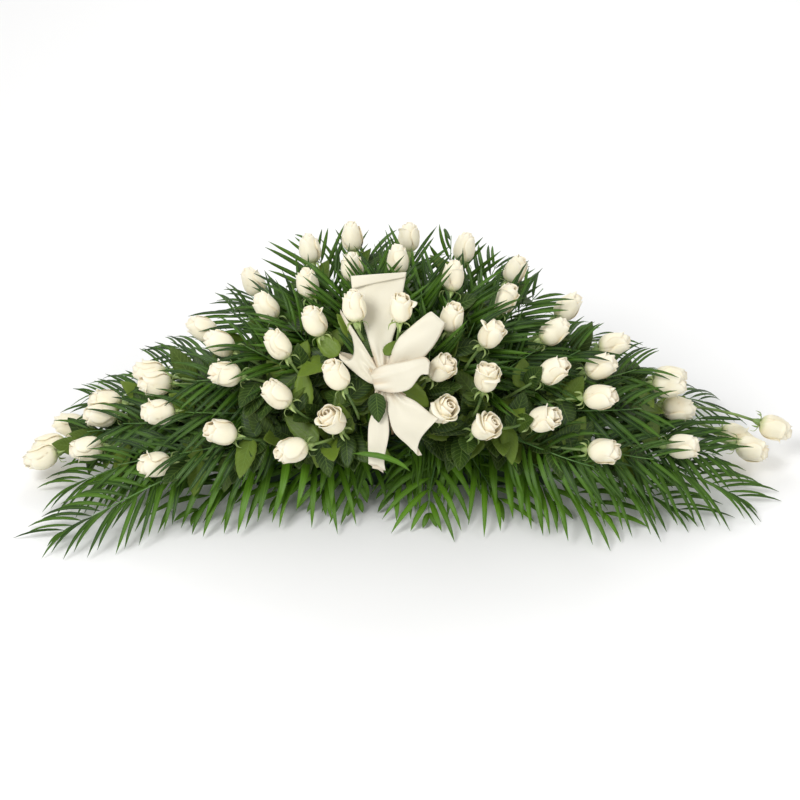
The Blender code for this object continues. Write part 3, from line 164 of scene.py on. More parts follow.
# How high up the view the leaflets reach: across and rise
CREST = np.transpose((
    (-660, 80), (-587, 118), (-466, 182), (-432, 205), (-364, 252), (-320, 288), (-278, 340), (-230, 376),
    (-158, 396), (-89, 408), (10, 414), (108, 396), (194, 360), (237, 336), (280, 300), (322, 246),
    (425, 200), (477, 160), (580, 95), (680, 60),
)) / MM

# Roses whose stems carry leaves, with the share of the stem where the leaves grow
LEAFY_ROSES = {
    3: 0.7, 5: 0.72, 8: 0.72, 10: 0.78, 12: 0.74, 13: 0.7, 14: 0.76, 15: 0.74, 17: 0.74,
    18: 0.7, 19: 0.76, 21: 0.76, 22: 0.74, 23: 0.72, 24: 0.7, 27: 0.78, 30: 0.76, 32: 0.72,
    33: 0.7, 35: 0.76, 37: 0.74, 38: 0.74, 39: 0.72, 40: 0.72, 42: 0.76, 43: 0.72, 44: 0.72,
    46: 0.74, 48: 0.78, 50: 0.76, 52: 0.74, 54: 0.74,
}

# Ribbon bands: each station is left edge and right edge, in across, rise, nearness
RIBBON_BANDS = {
    "upright_tail": (
        (-37, 146, 324, -26, 146, 324), (-44, 166, 322, -20, 164, 322), (-56, 205, 312, -16, 203, 312),
        (-66, 240, 302, -6, 238, 304), (-77, 278, 292, 1, 282, 294), (-84, 302, 291, 6, 309, 292),
        (-85, 310, 293, 7, 317, 293), (-85, 309, 296, 7, 316, 295), (-83, 290, 297.5, 5, 306, 294.5),
    ),
    "upper_right_loop": (
        (-34, 146, 326, -24, 138, 326), (-24, 168, 330, 12, 158, 332), (-8, 205, 336, 40, 182, 340),
        (16, 228, 340, 58, 206, 344), (44, 250, 346, 69, 230, 350),
    ),
    "lower_right_loop": (
        (-40, 144, 322, -34, 134, 322), (-52, 147, 336, -44, 124, 334), (-38, 160, 345, -16, 118, 345),
        (2, 168, 348, 12, 124, 350), (34, 174, 356, 30, 146, 358), (44, 168, 362, 42, 148, 364),
    ),
    "left_loop": (
        (-36, 136, 324, -34, 146, 324), (-48, 132, 322, -44, 164, 322), (-64, 140, 320, -62, 194, 318),
        (-86, 158, 308, -80, 222, 306), (-104, 176, 296, -102, 256, 298),
    ),
    "right_tail": (
        (-32, 140, 326, -24, 138, 326), (-26, 114, 326, -4, 118, 328), (-23, 84, 330, 22, 104, 334),
        (-14, 52, 326, 44, 86, 340), (10, 28, 318, 54, 78, 344), (30, 8, 310, 60, 74, 348),
    ),
    "left_tail": (
        (-36, 138, 324, -28, 138, 324), (-42, 116, 322, -26, 116, 322), (-48, 90, 318, -24, 86, 322),
        (-56, 62, 314, -22, 52, 320), (-56, 14, 306, -30, 8, 312), (-56, -4, 300, -26, -17, 304),
    ),
}
KNOT_PLACE = (-0.031, 0.141, 0.327)

# Rose leaves round the bow: across, rise, nearness, turn on the view, length, width, tone
BOW_LEAVES = (
    (-0.043, 0.118, 0.336, 275, 0.05, 0.03, 0.35),
    (-0.002, 0.128, 0.31, -35, 0.058, 0.04, 0.98),
    (-0.105, 0.18, 0.288, 137, 0.052, 0.034, 0.9),
    (-0.029, 0.18, 0.332, 52, 0.03, 0.018, 0.85),
    (-0.04, 0.178, 0.314, 125, 0.046, 0.026, 0.3),
)
# The leaflet that lies over the left tail: root, middle and tip
BOW_LEAFLET = ((-0.082, 0.018, 0.312), (-0.032, 0.013, 0.326), (0.014, -0.012, 0.318))


def seen_at(across: float, rise: float, nearness: float) -> Vector:
    """The point at a place of the view."""
    return across * ACROSS + rise * UPWARD + nearness * TOWARD


def over_crest(point: Vector) -> float:
    """How far a point stands over the crest on the view."""
    return point.dot(UPWARD) - float(np.interp(point.x, *CREST))


def edges_of(band: str) -> list[list[list[float]]]:
    """The left and the right edge of a ribbon band at each station, as places of the view."""
    return (np.array(RIBBON_BANDS[band]) / MM).reshape(-1, 2, 3).tolist()


def turned(turn: float, first: Vector, second: Vector) -> Vector:
    """The direction at an angle from the first direction towards the second."""
    return cos(turn) * first + sin(turn) * second


def direction(turn: float, lean: float) -> Vector:
    """A unit direction from its turn on the view and its lean towards the eye, in degrees."""
    return turned(radians(lean), turned(radians(turn), ACROSS, UPWARD), TOWARD)


def square_to(line: Vector, wanted: Vector) -> Vector:
    """The unit direction square to a line that comes nearest to the wanted one."""
    return (wanted - wanted.dot(line) * line).normalized()


def with_height(point: Vector, height: float) -> Vector:
    """The point slid along the line of sight until it is at this height."""
    return point + (height - point.z) / TOWARD.z * TOWARD


def frame_on(axis: Vector) -> tuple[Vector, Vector]:
    """Two unit directions square to an axis."""
    side = axis.cross(UP)
    if side.length < 0.05:
        side = axis.cross(ACROSS)
    side.normalize()
    return side, side.cross(axis).normalized()


def carried_sides(axis: Vector, path: Points) -> list[tuple[Vector, Vector]]:
    """Directions square to a path, carried along it without twist.

    Args:
        axis: What the first two are taken from.
        path: The path's points.

    Returns:
        Two directions for each point.
    """
    side, _ = frame_on(axis)
    found = []
    for index in range(len(path)):
        ahead = (path[min(index + 1, len(path) - 1)] - path[max(index - 1, 0)]).normalized()
        side = square_to(ahead, side)
        found.append((side, side.cross(ahead)))
    return found


def bezier(start: Vector, first: Vector, second: Vector, end: Vector, steps: int) -> list[Vector]:
    """Points along a cubic curve.

    Args:
        start: First point.
        first: Handle of the first point.
        second: Handle of the last point.
        end: Last point.
        steps: How many steps the curve is cut into.

    Returns:
        One point more than there are steps.
    """
    points = []
    for step in range(steps + 1):
        t = step / steps
        u = 1.0 - t
        points.append(u ** 3 * start + 3 * u * u * t * first + 3 * u * t * t * second + t ** 3 * end)
    return points


def along(points: Points, distance: float) -> tuple[Vector, Vector]:
    """The point and the direction at a distance along a polyline."""
    for a, b in zip(points, points[1:]):
        length = (b - a).length
        if distance <= length or b is points[-1]:
            return a.lerp(b, min(distance / length, 1.0)), (b - a).normalized()
        distance -= length
    return points[-1], (points[-1] - points[-2]).normalized()


def path_length(points: Points) -> float:
    """The length of a polyline."""
    return sum((b - a).length for a, b in zip(points, points[1:]))


def share_between(value: float, start: float, end: float) -> float:
    """0 at the start, 1 at the end and straight between them."""
    return min(max((value - start) / (end - start), 0.0), 1.0)


def rings_of_sways(axis: Vector, sizes: Sequence[float], turns: int = 8) -> list[Vector]:
    """Offsets square to an axis, from none at all to rings of growing size."""
    sides = frame_on(axis)
    rings = product(sizes, range(turns))
    return [Vector(), *(size * turned(turn * tau / turns, *sides) for size, turn in rings)]


@dataclass(frozen=True)
class Dome:
    """The dome that the rose heads lie on."""

    half_length: float = 0.64
    half_depth: float = 0.27
    height: float = 0.43
    depth_reach: float = 0.74
    backmost_lean: float = radians(24.0)
    lowest_head: float = 0.055

    def at(self, across: float, rise: float, scale: float = 1.0) -> Vector:
        """The point of the dome that is seen at this place.

        Args:
            across: Distance to the right on the view.
            rise: Distance up the view.
            scale: Share of the dome's size.

        Returns:
            The point in space.
        """
        height = scale * self.height * max(0.1, 1.0 - (abs(across) / self.half_length) ** 1.6)
        depth = scale * self.half_depth * max(0.2, 1.0 - (abs(across) / self.depth_reach) ** 2.4)
        reach = hypot(UPWARD.y * depth, UPWARD.z * height)
        crest = atan2(UPWARD.y * depth, UPWARD.z * height)
        lean = crest - acos(max(-0.9, min(1.0, rise / reach)))
        lean = min(lean, self.backmost_lean)
        point = Vector((across, depth * sin(lean), height * cos(lean)))
        return point + (rise - point.dot(UPWARD)) * UPWARD

    def lifted(self, point: Vector) -> Vector:
        """The point, slid up along the line of sight where it is too low."""
        return with_height(point, self.lowest_head) if point.z < self.lowest_head else point


DOME = Dome()


class Rose:
    """A rose of the spray: where its head sits, which way it looks and how far it is open."""

    HEAD_LENGTH = 0.062
    HEAD_RADIUS = 0.0245

    def __init__(self, number: int, across: float, rise: float, turn: float, lean: float,
                 out: float, opened: float) -> None:
        """Places the head on the dome.

        Args:
            number: The rose's number.
            across: Its place to the right on the view.
            rise: Its place up the view.
            turn: Its turn on the view.
            lean: Its lean towards the eye.
            out: How far it stands out of the dome.
            opened: How far it is open in tenths.
        """
        self.number = number
        self.place = DOME.lifted(DOME.at(across / MM, rise / MM) + out / MM * TOWARD)
        self.axis = direction(turn, lean)
        self.opened = opened / 10
        self.group = next((g for g in TOUCHING_HEADS if number in g), (number,))

    @property
    def foot(self) -> Vector:
        """The bottom of the head, where the petals meet the calyx."""
        return self.place - 0.5 * self.HEAD_LENGTH * self.axis

    def gap_to(self, other: "Rose") -> Vector:
        """The shortest vector from this head's middle line to another's."""
        half = 0.5 * self.HEAD_LENGTH - 0.8 * self.HEAD_RADIUS
        ends = [(rose.place - half * rose.axis, rose.place + half * rose.axis) for rose in (self, other)]
        here, there = ([low.lerp(high, step / 6) for step in range(7)] for low, high in ends)
        return min((b - a for a in here for b in there), key=lambda gap: gap.length)


class Room:
    """The room that the rose heads and the ribbon take, which added leaves keep out of."""

    HEAD_ROOM = 0.0255
    FLOOR_ROOM = 0.0025
    RIBBON_ROOM = 0.014

    def __init__(self, roses: Sequence[Rose]) -> None:
        """Takes the middle line of each head, and points all over the ribbon."""
        half = 0.5 * Rose.HEAD_LENGTH - Rose.HEAD_RADIUS
        self.start = np.array([rose.place - half * rose.axis for rose in roses])
        self.reach = np.array([2.0 * half * rose.axis for rose in roses])
        self.low = np.array((CAD_BOX[0].x, CAD_BOX[0].y, self.FLOOR_ROOM))
        self.high = np.array(CAD_BOX[1])
        self.view = np.array([ACROSS, UPWARD, TOWARD])
        spots = []
        for name in RIBBON_BANDS:
            for first, second in pairwise(np.array(edges_of(name))):
                for share in np.linspace(0, 1, 6):
                    left, right = first + share * (second - first)
                    spots += [left + part * (right - left) for part in np.linspace(0, 1, 9)]
        self.ribbon = np.array(spots)

    def clear(self, points: Points) -> bool:
        """Whether all points are clear of heads and ribbon, over the floor and inside the spray's box."""
        spots = np.array(points)
        if (spots < self.low).any() or (spots > self.high).any():
            return False
        off = spots[:, None] - self.start[None]
        share = np.clip((off * self.reach).sum(axis=2) / (self.reach ** 2).sum(axis=1), 0, 1)
        if np.linalg.norm(off - share[..., None] * self.reach, axis=2).min() < self.HEAD_ROOM:
            return False
        return self.behind_ribbon(points, self.RIBBON_ROOM)

    def behind_ribbon(self, points: Points, behind: float, beside: float = 0.009) -> bool:
        """Whether the ribbon stays free to the eye.

        Args:
            points: The points to try.
            behind: How far behind the ribbon they have to be.
            beside: How far beside it they needn't be.

        Returns:
            Whether no point hides it or touches it.
        """
        off = (np.array(points) @ self.view.T)[:, None] - self.ribbon[None]
        over = np.hypot(off[..., 0], off[..., 1]) < beside
        return not (over & (off[..., 2] > -behind)).any()


@dataclass(frozen=True)
class Easing:
    """Slides neighbouring heads apart, and draws together those that touch in the spray."""

    clearance: float = 0.0035
    fused_spacing: float = 0.038
    rounds: int = 60
    reach: float = 0.12
    lowest: float = 0.032

    def ease(self, roses: list[Rose]) -> None:
        """Moves the heads until none of them meet."""
        for _ in range(self.rounds):
            near = ((first, second) for first, second in combinations(roses, 2)
                    if (second.place - first.place).length <= self.reach)
            if not sum(self.ease_pair(first, second) for first, second in near):
                break
        for rose in roses:
            rose.place.z = max(rose.place.z, self.lowest)

    def ease_pair(self, first: Rose, second: Rose) -> bool:
        """Moves two heads apart, or together where they touch in the spray.

        Args:
            first: One rose.
            second: The other.

        Returns:
            Whether they moved.
        """
        gap = first.gap_to(second)
        if first.group == second.group:
            if second.number != first.number + 1 or gap.length <= self.fused_spacing:
                return False
            move = 0.25 * (gap.length - self.fused_spacing + 0.001) * gap.normalized()
        else:
            wanted = 2 * Rose.HEAD_RADIUS + self.clearance
            if gap.length >= wanted:
                return False
            sign = 1.0 if (second.place - first.place).dot(TOWARD) >= 0 else -1.0
            push = (gap.normalized() + 0.8 * sign * TOWARD).normalized()
            move = -0.5 * (wanted - gap.length) * push
        first.place += move
        second.place -= move
        return True


class SolidCorners:
    """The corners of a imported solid, to recognise which of several shapes it holds."""

    def __init__(self, node: str) -> None:
        """Reads the corners of one CAD node."""
        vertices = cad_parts[node].data.vertices
        self.tree = KDTree(len(vertices))
        for index, vertex in enumerate(vertices):
            self.tree.insert(vertex.co, index)
        self.tree.balance()

    def has(self, point: Vector) -> bool:
        """Whether the solid has a corner here."""
        return self.tree.find(point)[2] < SAME_CORNER

    def share(self, points: Points) -> float:
        """The share of these points that are corners of the solid."""
        return sum(self.has(point) for point in points) / max(len(points), 1)


@dataclass(frozen=True)
class Holder:
    """Sizes of the tray, the foam and the bundles of stem ends, as the solids have them."""

    foam_top: float = 0.0828
    bundle_x: float = 0.08
    front_bundle_y: float = -0.022
    back_bundle_y: float = 0.033
    bundle_radius: float = 0.015
    bundle_depth: float = 0.05
    bundle_stand: float = 0.013
    bundle_spread: float = 0.009


HOLDER = Holder()


class Sector:
    """A part of the greenery that grows from one bundle of stem ends."""

    MIDDLE_OFFSET = 0.022
    MIDDLE_SLANT = 0.16
    STEP_ASIDE = 0.055
    STEP_HEIGHTS = (0.08, 0.05)
    STEP_DEPTHS = (-0.075, -0.115)

    def __init__(self, name: str) -> None:
        """Sets up the sector with its CAD node and bundle."""
        self.name = name
        self.node = "greens_" + name
        self.left = -1.0 if name.endswith("left") else 1.0
        self.front = name.startswith("front")
        y = HOLDER.front_bundle_y if self.front else HOLDER.back_bundle_y
        height = HOLDER.foam_top + 0.5 * HOLDER.bundle_stand
        self.root = Vector((self.left * HOLDER.bundle_x, y, height))
        self.corners = SolidCorners(self.node)

    def on_its_side(self, point: Vector) -> bool:
        """Whether a point lies on this sector's side of the middle."""
        step = share_between(point.z, *self.STEP_HEIGHTS) * share_between(point.y, *self.STEP_DEPTHS)
        middle = self.MIDDLE_OFFSET + self.MIDDLE_SLANT * point.y - self.STEP_ASIDE * step
        return self.left * (point.x - middle) > 0.0


@dataclass(frozen=True)
class RoseLeafSpot:
    """Where a rose leaf grows: its root, its line, its upper face and its length."""

    root: Vector
    line: Vector
    face: Vector
    length: float
    width: float = 0.036
    POINT: ClassVar[tuple] = (1.0, 0.0, -0.16)
    EDGES: ClassVar[tuple] = ((0.3, 0.46, 0.1), (0.66, 0.36, 0.02))

    @property
    def side(self) -> Vector:
        """The direction across the leaf."""
        return self.line.cross(self.face).normalized()

    def at(self, along_rib: float, across: float, up: float) -> Vector:
        """The point at shares of the length along, and of the width across and up."""
        point = self.root + along_rib * self.length * self.line
        return point + self.width * (across * self.side + up * self.face)

    def corners(self) -> list[Vector]:
        """The corners that the solid leaf has."""
        sides = ((share, sign * across, up) for share, across, up in self.EDGES for sign in (1.0, -1.0))
        return [self.at(*place) for place in (self.POINT, *sides)]

    def outline(self) -> list[Vector]:
        """Points all over the leaf."""
        return [*self.corners(), self.at(0.5, 0.0, 0.0)]


def first_leaf(seat: tuple[Vector, Vector, Vector], reaches: tuple[float, float], length: float,
               trials: Iterator[tuple[float, float]],
               fits: Callable[[RoseLeafSpot], bool]) -> Iterator[RoseLeafSpot]:
    """The first leaf that fits, of those turned round one place of a stem.

    Args:
        seat: The place, the way along the stem and the way out of the spray.
        reaches: How far the leaf leans along the stem and out of the spray.
        length: The leaf's length.
        trials: The turn and the width of each leaf to try.
        fits: Whether a leaf may stay.

    Yields:
        That leaf, if there is one.
    """
    root, ahead, outward = seat
    side = ahead.cross(outward).normalized()
    for angle, width in trials:
        line = reaches[0] * ahead + cos(angle) * side + reaches[1] * sin(angle) * outward
        line.normalize()
        spot = RoseLeafSpot(root, line, square_to(line, outward), length, width)
        if fits(spot):
            yield spot
            return


class Stem:
    """A rose's stem from its bundle to its calyx, bent aside as the solid's is."""

    RADIUS = 0.0028
    SHORT = 0.33
    CALYX_DEPTH = 0.011
    SOLID_SIDES = 5
    SWAYS = (0.015, 0.03, 0.045, 0.06, 0.08, 0.1, 0.12)
    LEAF_SHARES = (0.34, 0.4, 0.46, 0.52, 0.58, 0.64, 0.7, 0.76, 0.82, 0.88, 0.93)

    def __init__(self, rose: Rose, sector: Sector) -> None:
        """Finds the sway and the straight pieces of the solid stem."""
        self.rose = rose
        self.sector = sector
        pieces = 2 if (rose.foot - sector.root).length < self.SHORT else 3
        best, self.sway = 0.0, Vector()
        for sway in rings_of_sways(rose.axis, self.SWAYS):
            share = sector.corners.share(self.bends(self.path(sway, pieces)))
            if share > best:
                best, self.sway = share, sway
        self.solid = self.path(self.sway, pieces)

    def path(self, sway: Vector, steps: int) -> list[Vector]:
        """The bent stem.

        Args:
            sway: How far it is bent aside.
            steps: How many pieces it is cut into.

        Returns:
            Its points from the bundle to the calyx.
        """
        rose, root = self.rose, self.sector.root
        end = rose.foot - (GAP + self.CALYX_DEPTH) * rose.axis
        reach = (end - root).length
        line = (end - root).normalized()
        start = root + HOLDER.bundle_spread * Vector((line.x, line.y, 0.5 * line.z))
        line.z = max(line.z, 0.12)
        first = start + 0.35 * reach * line.normalized() + sway
        second = end - 0.3 * reach * rose.axis + 0.5 * sway
        second.z = max(second.z, 0.012)
        return bezier(start, first, second, end, steps)

    def bends(self, path: Points) -> list[Vector]:
        """The corners that the solid stem has round its bends."""
        turns = [corner * tau / self.SOLID_SIDES for corner in range(self.SOLID_SIDES)]
        rings = list(zip(path, carried_sides(self.rose.axis, path)))[1:-1]
        return [point + self.RADIUS * turned(turn, *sides) for point, sides in rings for turn in turns]

    def solid_leaves(self, chance: Random) -> Iterator[RoseLeafSpot]:
        """The leaves that the solid holds on this stem.

        Args:
            chance: Random draws, in the solid's order.

        Yields:
            Each leaf.
        """
        total = path_length(self.solid)
        for index in range(2 if self.rose.number in LEAFY_ROSES else 0):
            root, ahead = along(self.solid, (LEAFY_ROSES[self.rose.number] + 0.1 * index) * total)
            outward = Vector((0.25 * root.x, root.y, root.z)).normalized()
            length = chance.uniform(0.062, 0.076)
            trials = ((radians(35 + 150 * index + 30 * turn), RoseLeafSpot.width) for turn in range(12))
            yield from first_leaf((root, ahead, outward), (0.45, 0.5), length, trials,
                                  lambda spot: self.sector.corners.share(spot.corners()) > 0.5)

    def more_leaves(self, room: Room) -> Iterator[RoseLeafSpot]:
        """Further leaves along the stem, turned until they are clear of the heads.

        Args:
            room: The room of the heads and the ribbon.

        Yields:
            Each leaf.
        """
        chance = Random(self.rose.number)
        total = path_length(self.solid)
        for share in self.LEAF_SHARES:
            root, ahead = along(self.solid, share * total)
            if -0.56 < root.x < 0.44:
                outward = (Vector((0.25 * root.x, root.y, root.z)).normalized() + 0.4 * TOWARD).normalized()
                length = chance.uniform(0.05, 0.078)
                first = chance.uniform(0.0, tau)
                trials = ((first + GOLDEN_TURN * turn, chance.uniform(0.03, 0.038)) for turn in range(9))
                yield from first_leaf((root, ahead, outward), (0.4, 0.45), length, trials,
                                      lambda spot: room.clear(spot.outline()))


@dataclass(frozen=True)
class LeafletSpot:
    """Where a palm leaflet grows: its root, a point on the way, its tip, face and half width."""

    root: Vector
    middle: Vector
    tip: Vector
    face: Vector
    half: float
    tone: float

    def bend(self, share: float = 0.42) -> Vector:
        """The handle that makes the leaflet's curve pass its middle point."""
        rest = 1.0 - share
        passed = self.middle - rest * rest * self.root - share * share * self.tip
        handle = passed / (2.0 * share * rest)
        handle.z = max(handle.z, LOWEST_LEAFLET)
        return handle


class Frond:
    """A palm frond: how its rib bends and how its leaflets stand, as in the solids."""

    LEAFLET_WIDTH = 0.019
    RIB_HALF = 0.0018
    RIB_DEPTH = 0.0034
    RIB_STEPS = 16
    SWAYS = (0.04, 0.08, 0.12, 0.17, 0.22, 0.28)
    SLIDES = (0.0, -0.02, -0.04, 0.02, -0.06, -0.08)
    SHARES = (1.0, 0.82, 0.66, 0.5, 0.36, 0.24, 0.15)
    TILTS = (8, 0, 16, -10, 26, -20, 38, -32, 52, -46)
    CREST_SHARES = (1.0, 0.88, 0.76, 0.64, 0.52, 0.42)
    OVER_CREST = 0.004

    def __init__(self, row: tuple, sector: Sector, broad: bool = False) -> None:
        """Lays the rib of one row of the tables, before it is bent aside."""
        cut = 4 if sector.front else 3
        run, longest, self.pairs = row[cut:cut + 3]
        place = row[:cut] + row[cut + 3:]
        self.sector = sector
        self.broad = broad
        self.run = run / MM
        self.longest = longest / MM
        first, second, end, self.facing = self.front_rib(*place) if sector.front else self.back_rib(*place)
        self.path = bezier(sector.root, first, second, end, self.RIB_STEPS)

    def front_rib(self, across: float, rise: float, turn: float, lean: float,
                  height: float | None = None) -> tuple[Vector, Vector, Vector, Vector]:
        """Lays a front rib.

        Args:
            across: Its end to the right on the view.
            rise: Its end up the view.
            turn: The turn of its end in degrees.
            lean: The lean of its end towards the eye in degrees.
            height: The height of its end, where that doesn't lie on the dome.

        Returns:
            Both handles and the end, and the way that its upper face looks.
        """
        heading = direction(turn, lean)
        if height is None:
            end = DOME.lifted(DOME.at(across / MM, rise / MM, 0.93))
            facing = Vector((0.3 * end.x, end.y, end.z)).normalized() + 0.5 * TOWARD
        else:
            end = with_height(seen_at(across / MM, rise / MM, 0.0), height / MM)
            facing = UP + 0.4 * TOWARD
            heading.z = max(heading.z, -0.3)
            heading.normalize()
        root = self.sector.root
        reach = (end - root).length
        first = root + 0.3 * reach * ((end - root).normalized() + 0.55 * UP).normalized()
        return first, end - 0.36 * reach * heading, end, facing.normalized()

    def back_rib(self, x: float, y: float, z: float) -> tuple[Vector, Vector, Vector, Vector]:
        """Both handles and the end of a back rib, and the way that its upper face looks."""
        root = self.sector.root
        end = Vector((x / MM, y / MM, z / MM))
        out = Vector((end.x - root.x, end.y - root.y, 0.0)).normalized()
        reach = (end - root).length
        low = end.z < 0.1
        heading = (out + (-0.35 if low else 0.35) * UP).normalized()
        first = root + 0.34 * reach * (0.8 * out + UP).normalized()
        facing = (UP + (0.6 if low else 1.2) * out).normalized()
        return first, end - 0.34 * reach * heading, end, facing

    def axes(self, path: Points, share: float) -> tuple[Vector, Vector, Vector, Vector]:
        """The point at a share of a rib's leafy stretch, and the directions ahead, aside and up there."""
        total = path_length(path)
        run = min(self.run, 0.8 * total)
        point, ahead = along(path, total - run + run * share)
        side = ahead.cross(self.facing).normalized()
        return point, ahead, side, side.cross(ahead).normalized()

    def stations(self, path: Points) -> tuple[list[Vector], list[Vector], list[Vector]]:
        """The left corners, the right corners and the keel's corners of a rib beside its leaflets."""
        lefts, rights, keels = [], [], []
        for index in range(self.pairs + 1):
            point, _, side, _ = self.axes(path, index / self.pairs)
            half = self.RIB_HALF * (1.0 - 0.5 * index / self.pairs) * side
            lefts.append(point - half)
            rights.append(point + half)
        for index in range(self.pairs):
            point, _, _, face = self.axes(path, (index + 0.5) / self.pairs)
            keels.append(point - self.RIB_DEPTH * (1.0 - 0.4 * index / self.pairs) * face)
        return lefts, rights, keels

    def trials(self) -> Iterator[list[Vector]]:
        """The rib bent aside in growing steps."""
        span = self.path[-1] - self.path[0]
        sways = rings_of_sways(span.normalized(), [span.length * size for size in self.SWAYS])
        for slide, sway in product(self.SLIDES, sways):
            trial = []
            for index, point in enumerate(self.path):
                share = index / self.RIB_STEPS
                bent = sin(pi * share) * (0.6 + 0.4 * share) * sway
                trial.append(point + bent + slide * share * share * TOWARD)
            yield trial

    def bend_clear(self, room: Room) -> bool:
        """Bends the rib aside until it is clear of the heads, and says whether it could be."""
        found = next((trial for trial in self.trials() if room.clear(trial[2:])), None)
        self.path = found or self.path
        return found is not None

    def bend_as_solid(self) -> None:
        """Bends the rib aside as the solid's is."""
        best, path = 0.0, self.path
        for trial in self.trials():
            lefts, rights, keels = self.stations(trial)
            found = self.sector.corners.share(lefts[1:] + rights[1:] + keels)
            if found > best:
                best, path = found, trial
            if found > 0.6:
                break
        if best < 0.3:
            LOG.warning("a rib of %s matches only %.0f%%", self.sector.name, 100 * best)
        self.path = path

    def leaflet(self, a: Vector, b: Vector, rib: tuple[Vector, Vector, Vector], length: float,
                turn: float, lift: float, droop: float) -> tuple[Vector, Vector, Vector]:
        """The widest points and the tip of a solid leaflet.

        Args:
            a: The rib's corner before the leaflet.
            b: The rib's corner after it.
            rib: Directions along the rib, out from it and up from it.
            length: The leaflet's length.
            turn: Its angle with the rib.
            lift: How far it is lifted.
            droop: How much further down its outer half points.

        Returns:
            Both widest points and the tip.
        """
        ahead, side, face = rib
        line = turned(turn, ahead, turned(lift, side, face))
        half = min(0.5 * self.LEAFLET_WIDTH / max(sin(turn), 0.45), 0.47 * (b - a).length)
        middle = (a + b) / 2 + 0.42 * length * line
        far = turned(0.85 * turn, ahead, turned(lift - droop, side, face))
        tip = middle + 0.58 * length * (far - 0.25 * UP).normalized()
        half_step = half * (b - a).normalized()
        return middle - half_step, middle + half_step, tip

    def leaflets(self, allow: Callable[[Vector, Vector, Vector], bool],
                 chance: Random) -> Iterator[LeafletSpot]:
        """The leaflets inside the outline of each wide one.

        Args:
            allow: Says whether a wide leaflet with these widest points and tip is there.
            chance: Random draws.

        Yields:
            Each leaflet.
        """
        lefts, rights, _ = self.stations(self.path)
        for index in range(self.pairs):
            share = (index + 0.5) / self.pairs
            _, ahead, side, face = self.axes(self.path, share)
            turn = radians(62 - 36 * share)
            size = self.longest * (0.62 + 0.9 * share * (1.0 - share) + 0.16 * (1.0 - share))
            for sign, edge in ((-1.0, lefts), (1.0, rights)):
                a, b = edge[index], edge[index + 1]
                droop = radians(16 + 12 * chance.random())
                rib = (ahead, sign * side, face)
                for part, tilt in product(self.SHARES, self.TILTS):
                    c, d, tip = self.leaflet(a, b, rib, part * size, turn, radians(tilt), droop)
                    if allow(c, d, tip):
                        yield from self.split(a, b, c, d, tip, face, index)
                        break

    def split(self, a: Vector, b: Vector, c: Vector, d: Vector, tip: Vector, face: Vector,
              index: int) -> Iterator[LeafletSpot]:
        """One broad or two narrow leaflets in the outline of a wide one.

        Args:
            a: The rib's corner before the wide one.
            b: The rib's corner after it.
            c: Its first widest point.
            d: Its second.
            tip: Its tip.
            face: The way its upper face looks.
            index: Its place along the rib.

        Yields:
            Each leaflet.
        """
        step = b - a
        line = (tip - (a + b) / 2).normalized()
        room = (step - step.dot(line) * line).length
        half = min(max(0.47 * room, 0.007), 0.01) if self.broad else min(max(0.29 * room, 0.0034), 0.006)
        for part in (0.5,) if self.broad else (0.25, 0.75):
            root = a.lerp(b, part)
            tone = (sin(GOLDEN_TURN * (7 * index + 3 * part) + 40 * tip.x) + 1.0) / 2
            end = tip + (part - 0.5) * 0.9 * step - 0.012 * (0.6 - part + 0.3 * tone) * line
            middle = c.lerp(d, part)
            share = self.share_under_crest(root, middle, end)
            if share:
                middle, end = root.lerp(middle, share), root.lerp(end, share)
                end.z = max(end.z, LOWEST_LEAFLET)
                # painted light: leaflets that end low down are brighter, less so far out towards the ends
                lit = 1.0 - share_between(end.z, 0.02, 0.1)
                lit *= 1.0 - 0.8 * share_between(abs(end.x), 0.24, 0.46)
                tone = 0.5 * tone + 0.25 * self.broad + 0.5 * lit
                yield LeafletSpot(root, middle, end, square_to(line, face), half * share ** 0.5, tone)

    def share_under_crest(self, root: Vector, middle: Vector, end: Vector) -> float:
        """The share of a leaflet that stays under the crest, or 0 where too little of it does."""
        for share in self.CREST_SHARES:
            if max(over_crest(root.lerp(spot, share)) for spot in (middle, end)) < self.OVER_CREST:
                return share
        return 0.0


def operator(operation: str, swapped: bool = False) -> Callable[["Wire", "Wire | float | tuple"], "Wire"]:
    """A Python operator of Wire, which adds the node of one operation."""
    return lambda self, other: self.joined(operation, other, swapped)


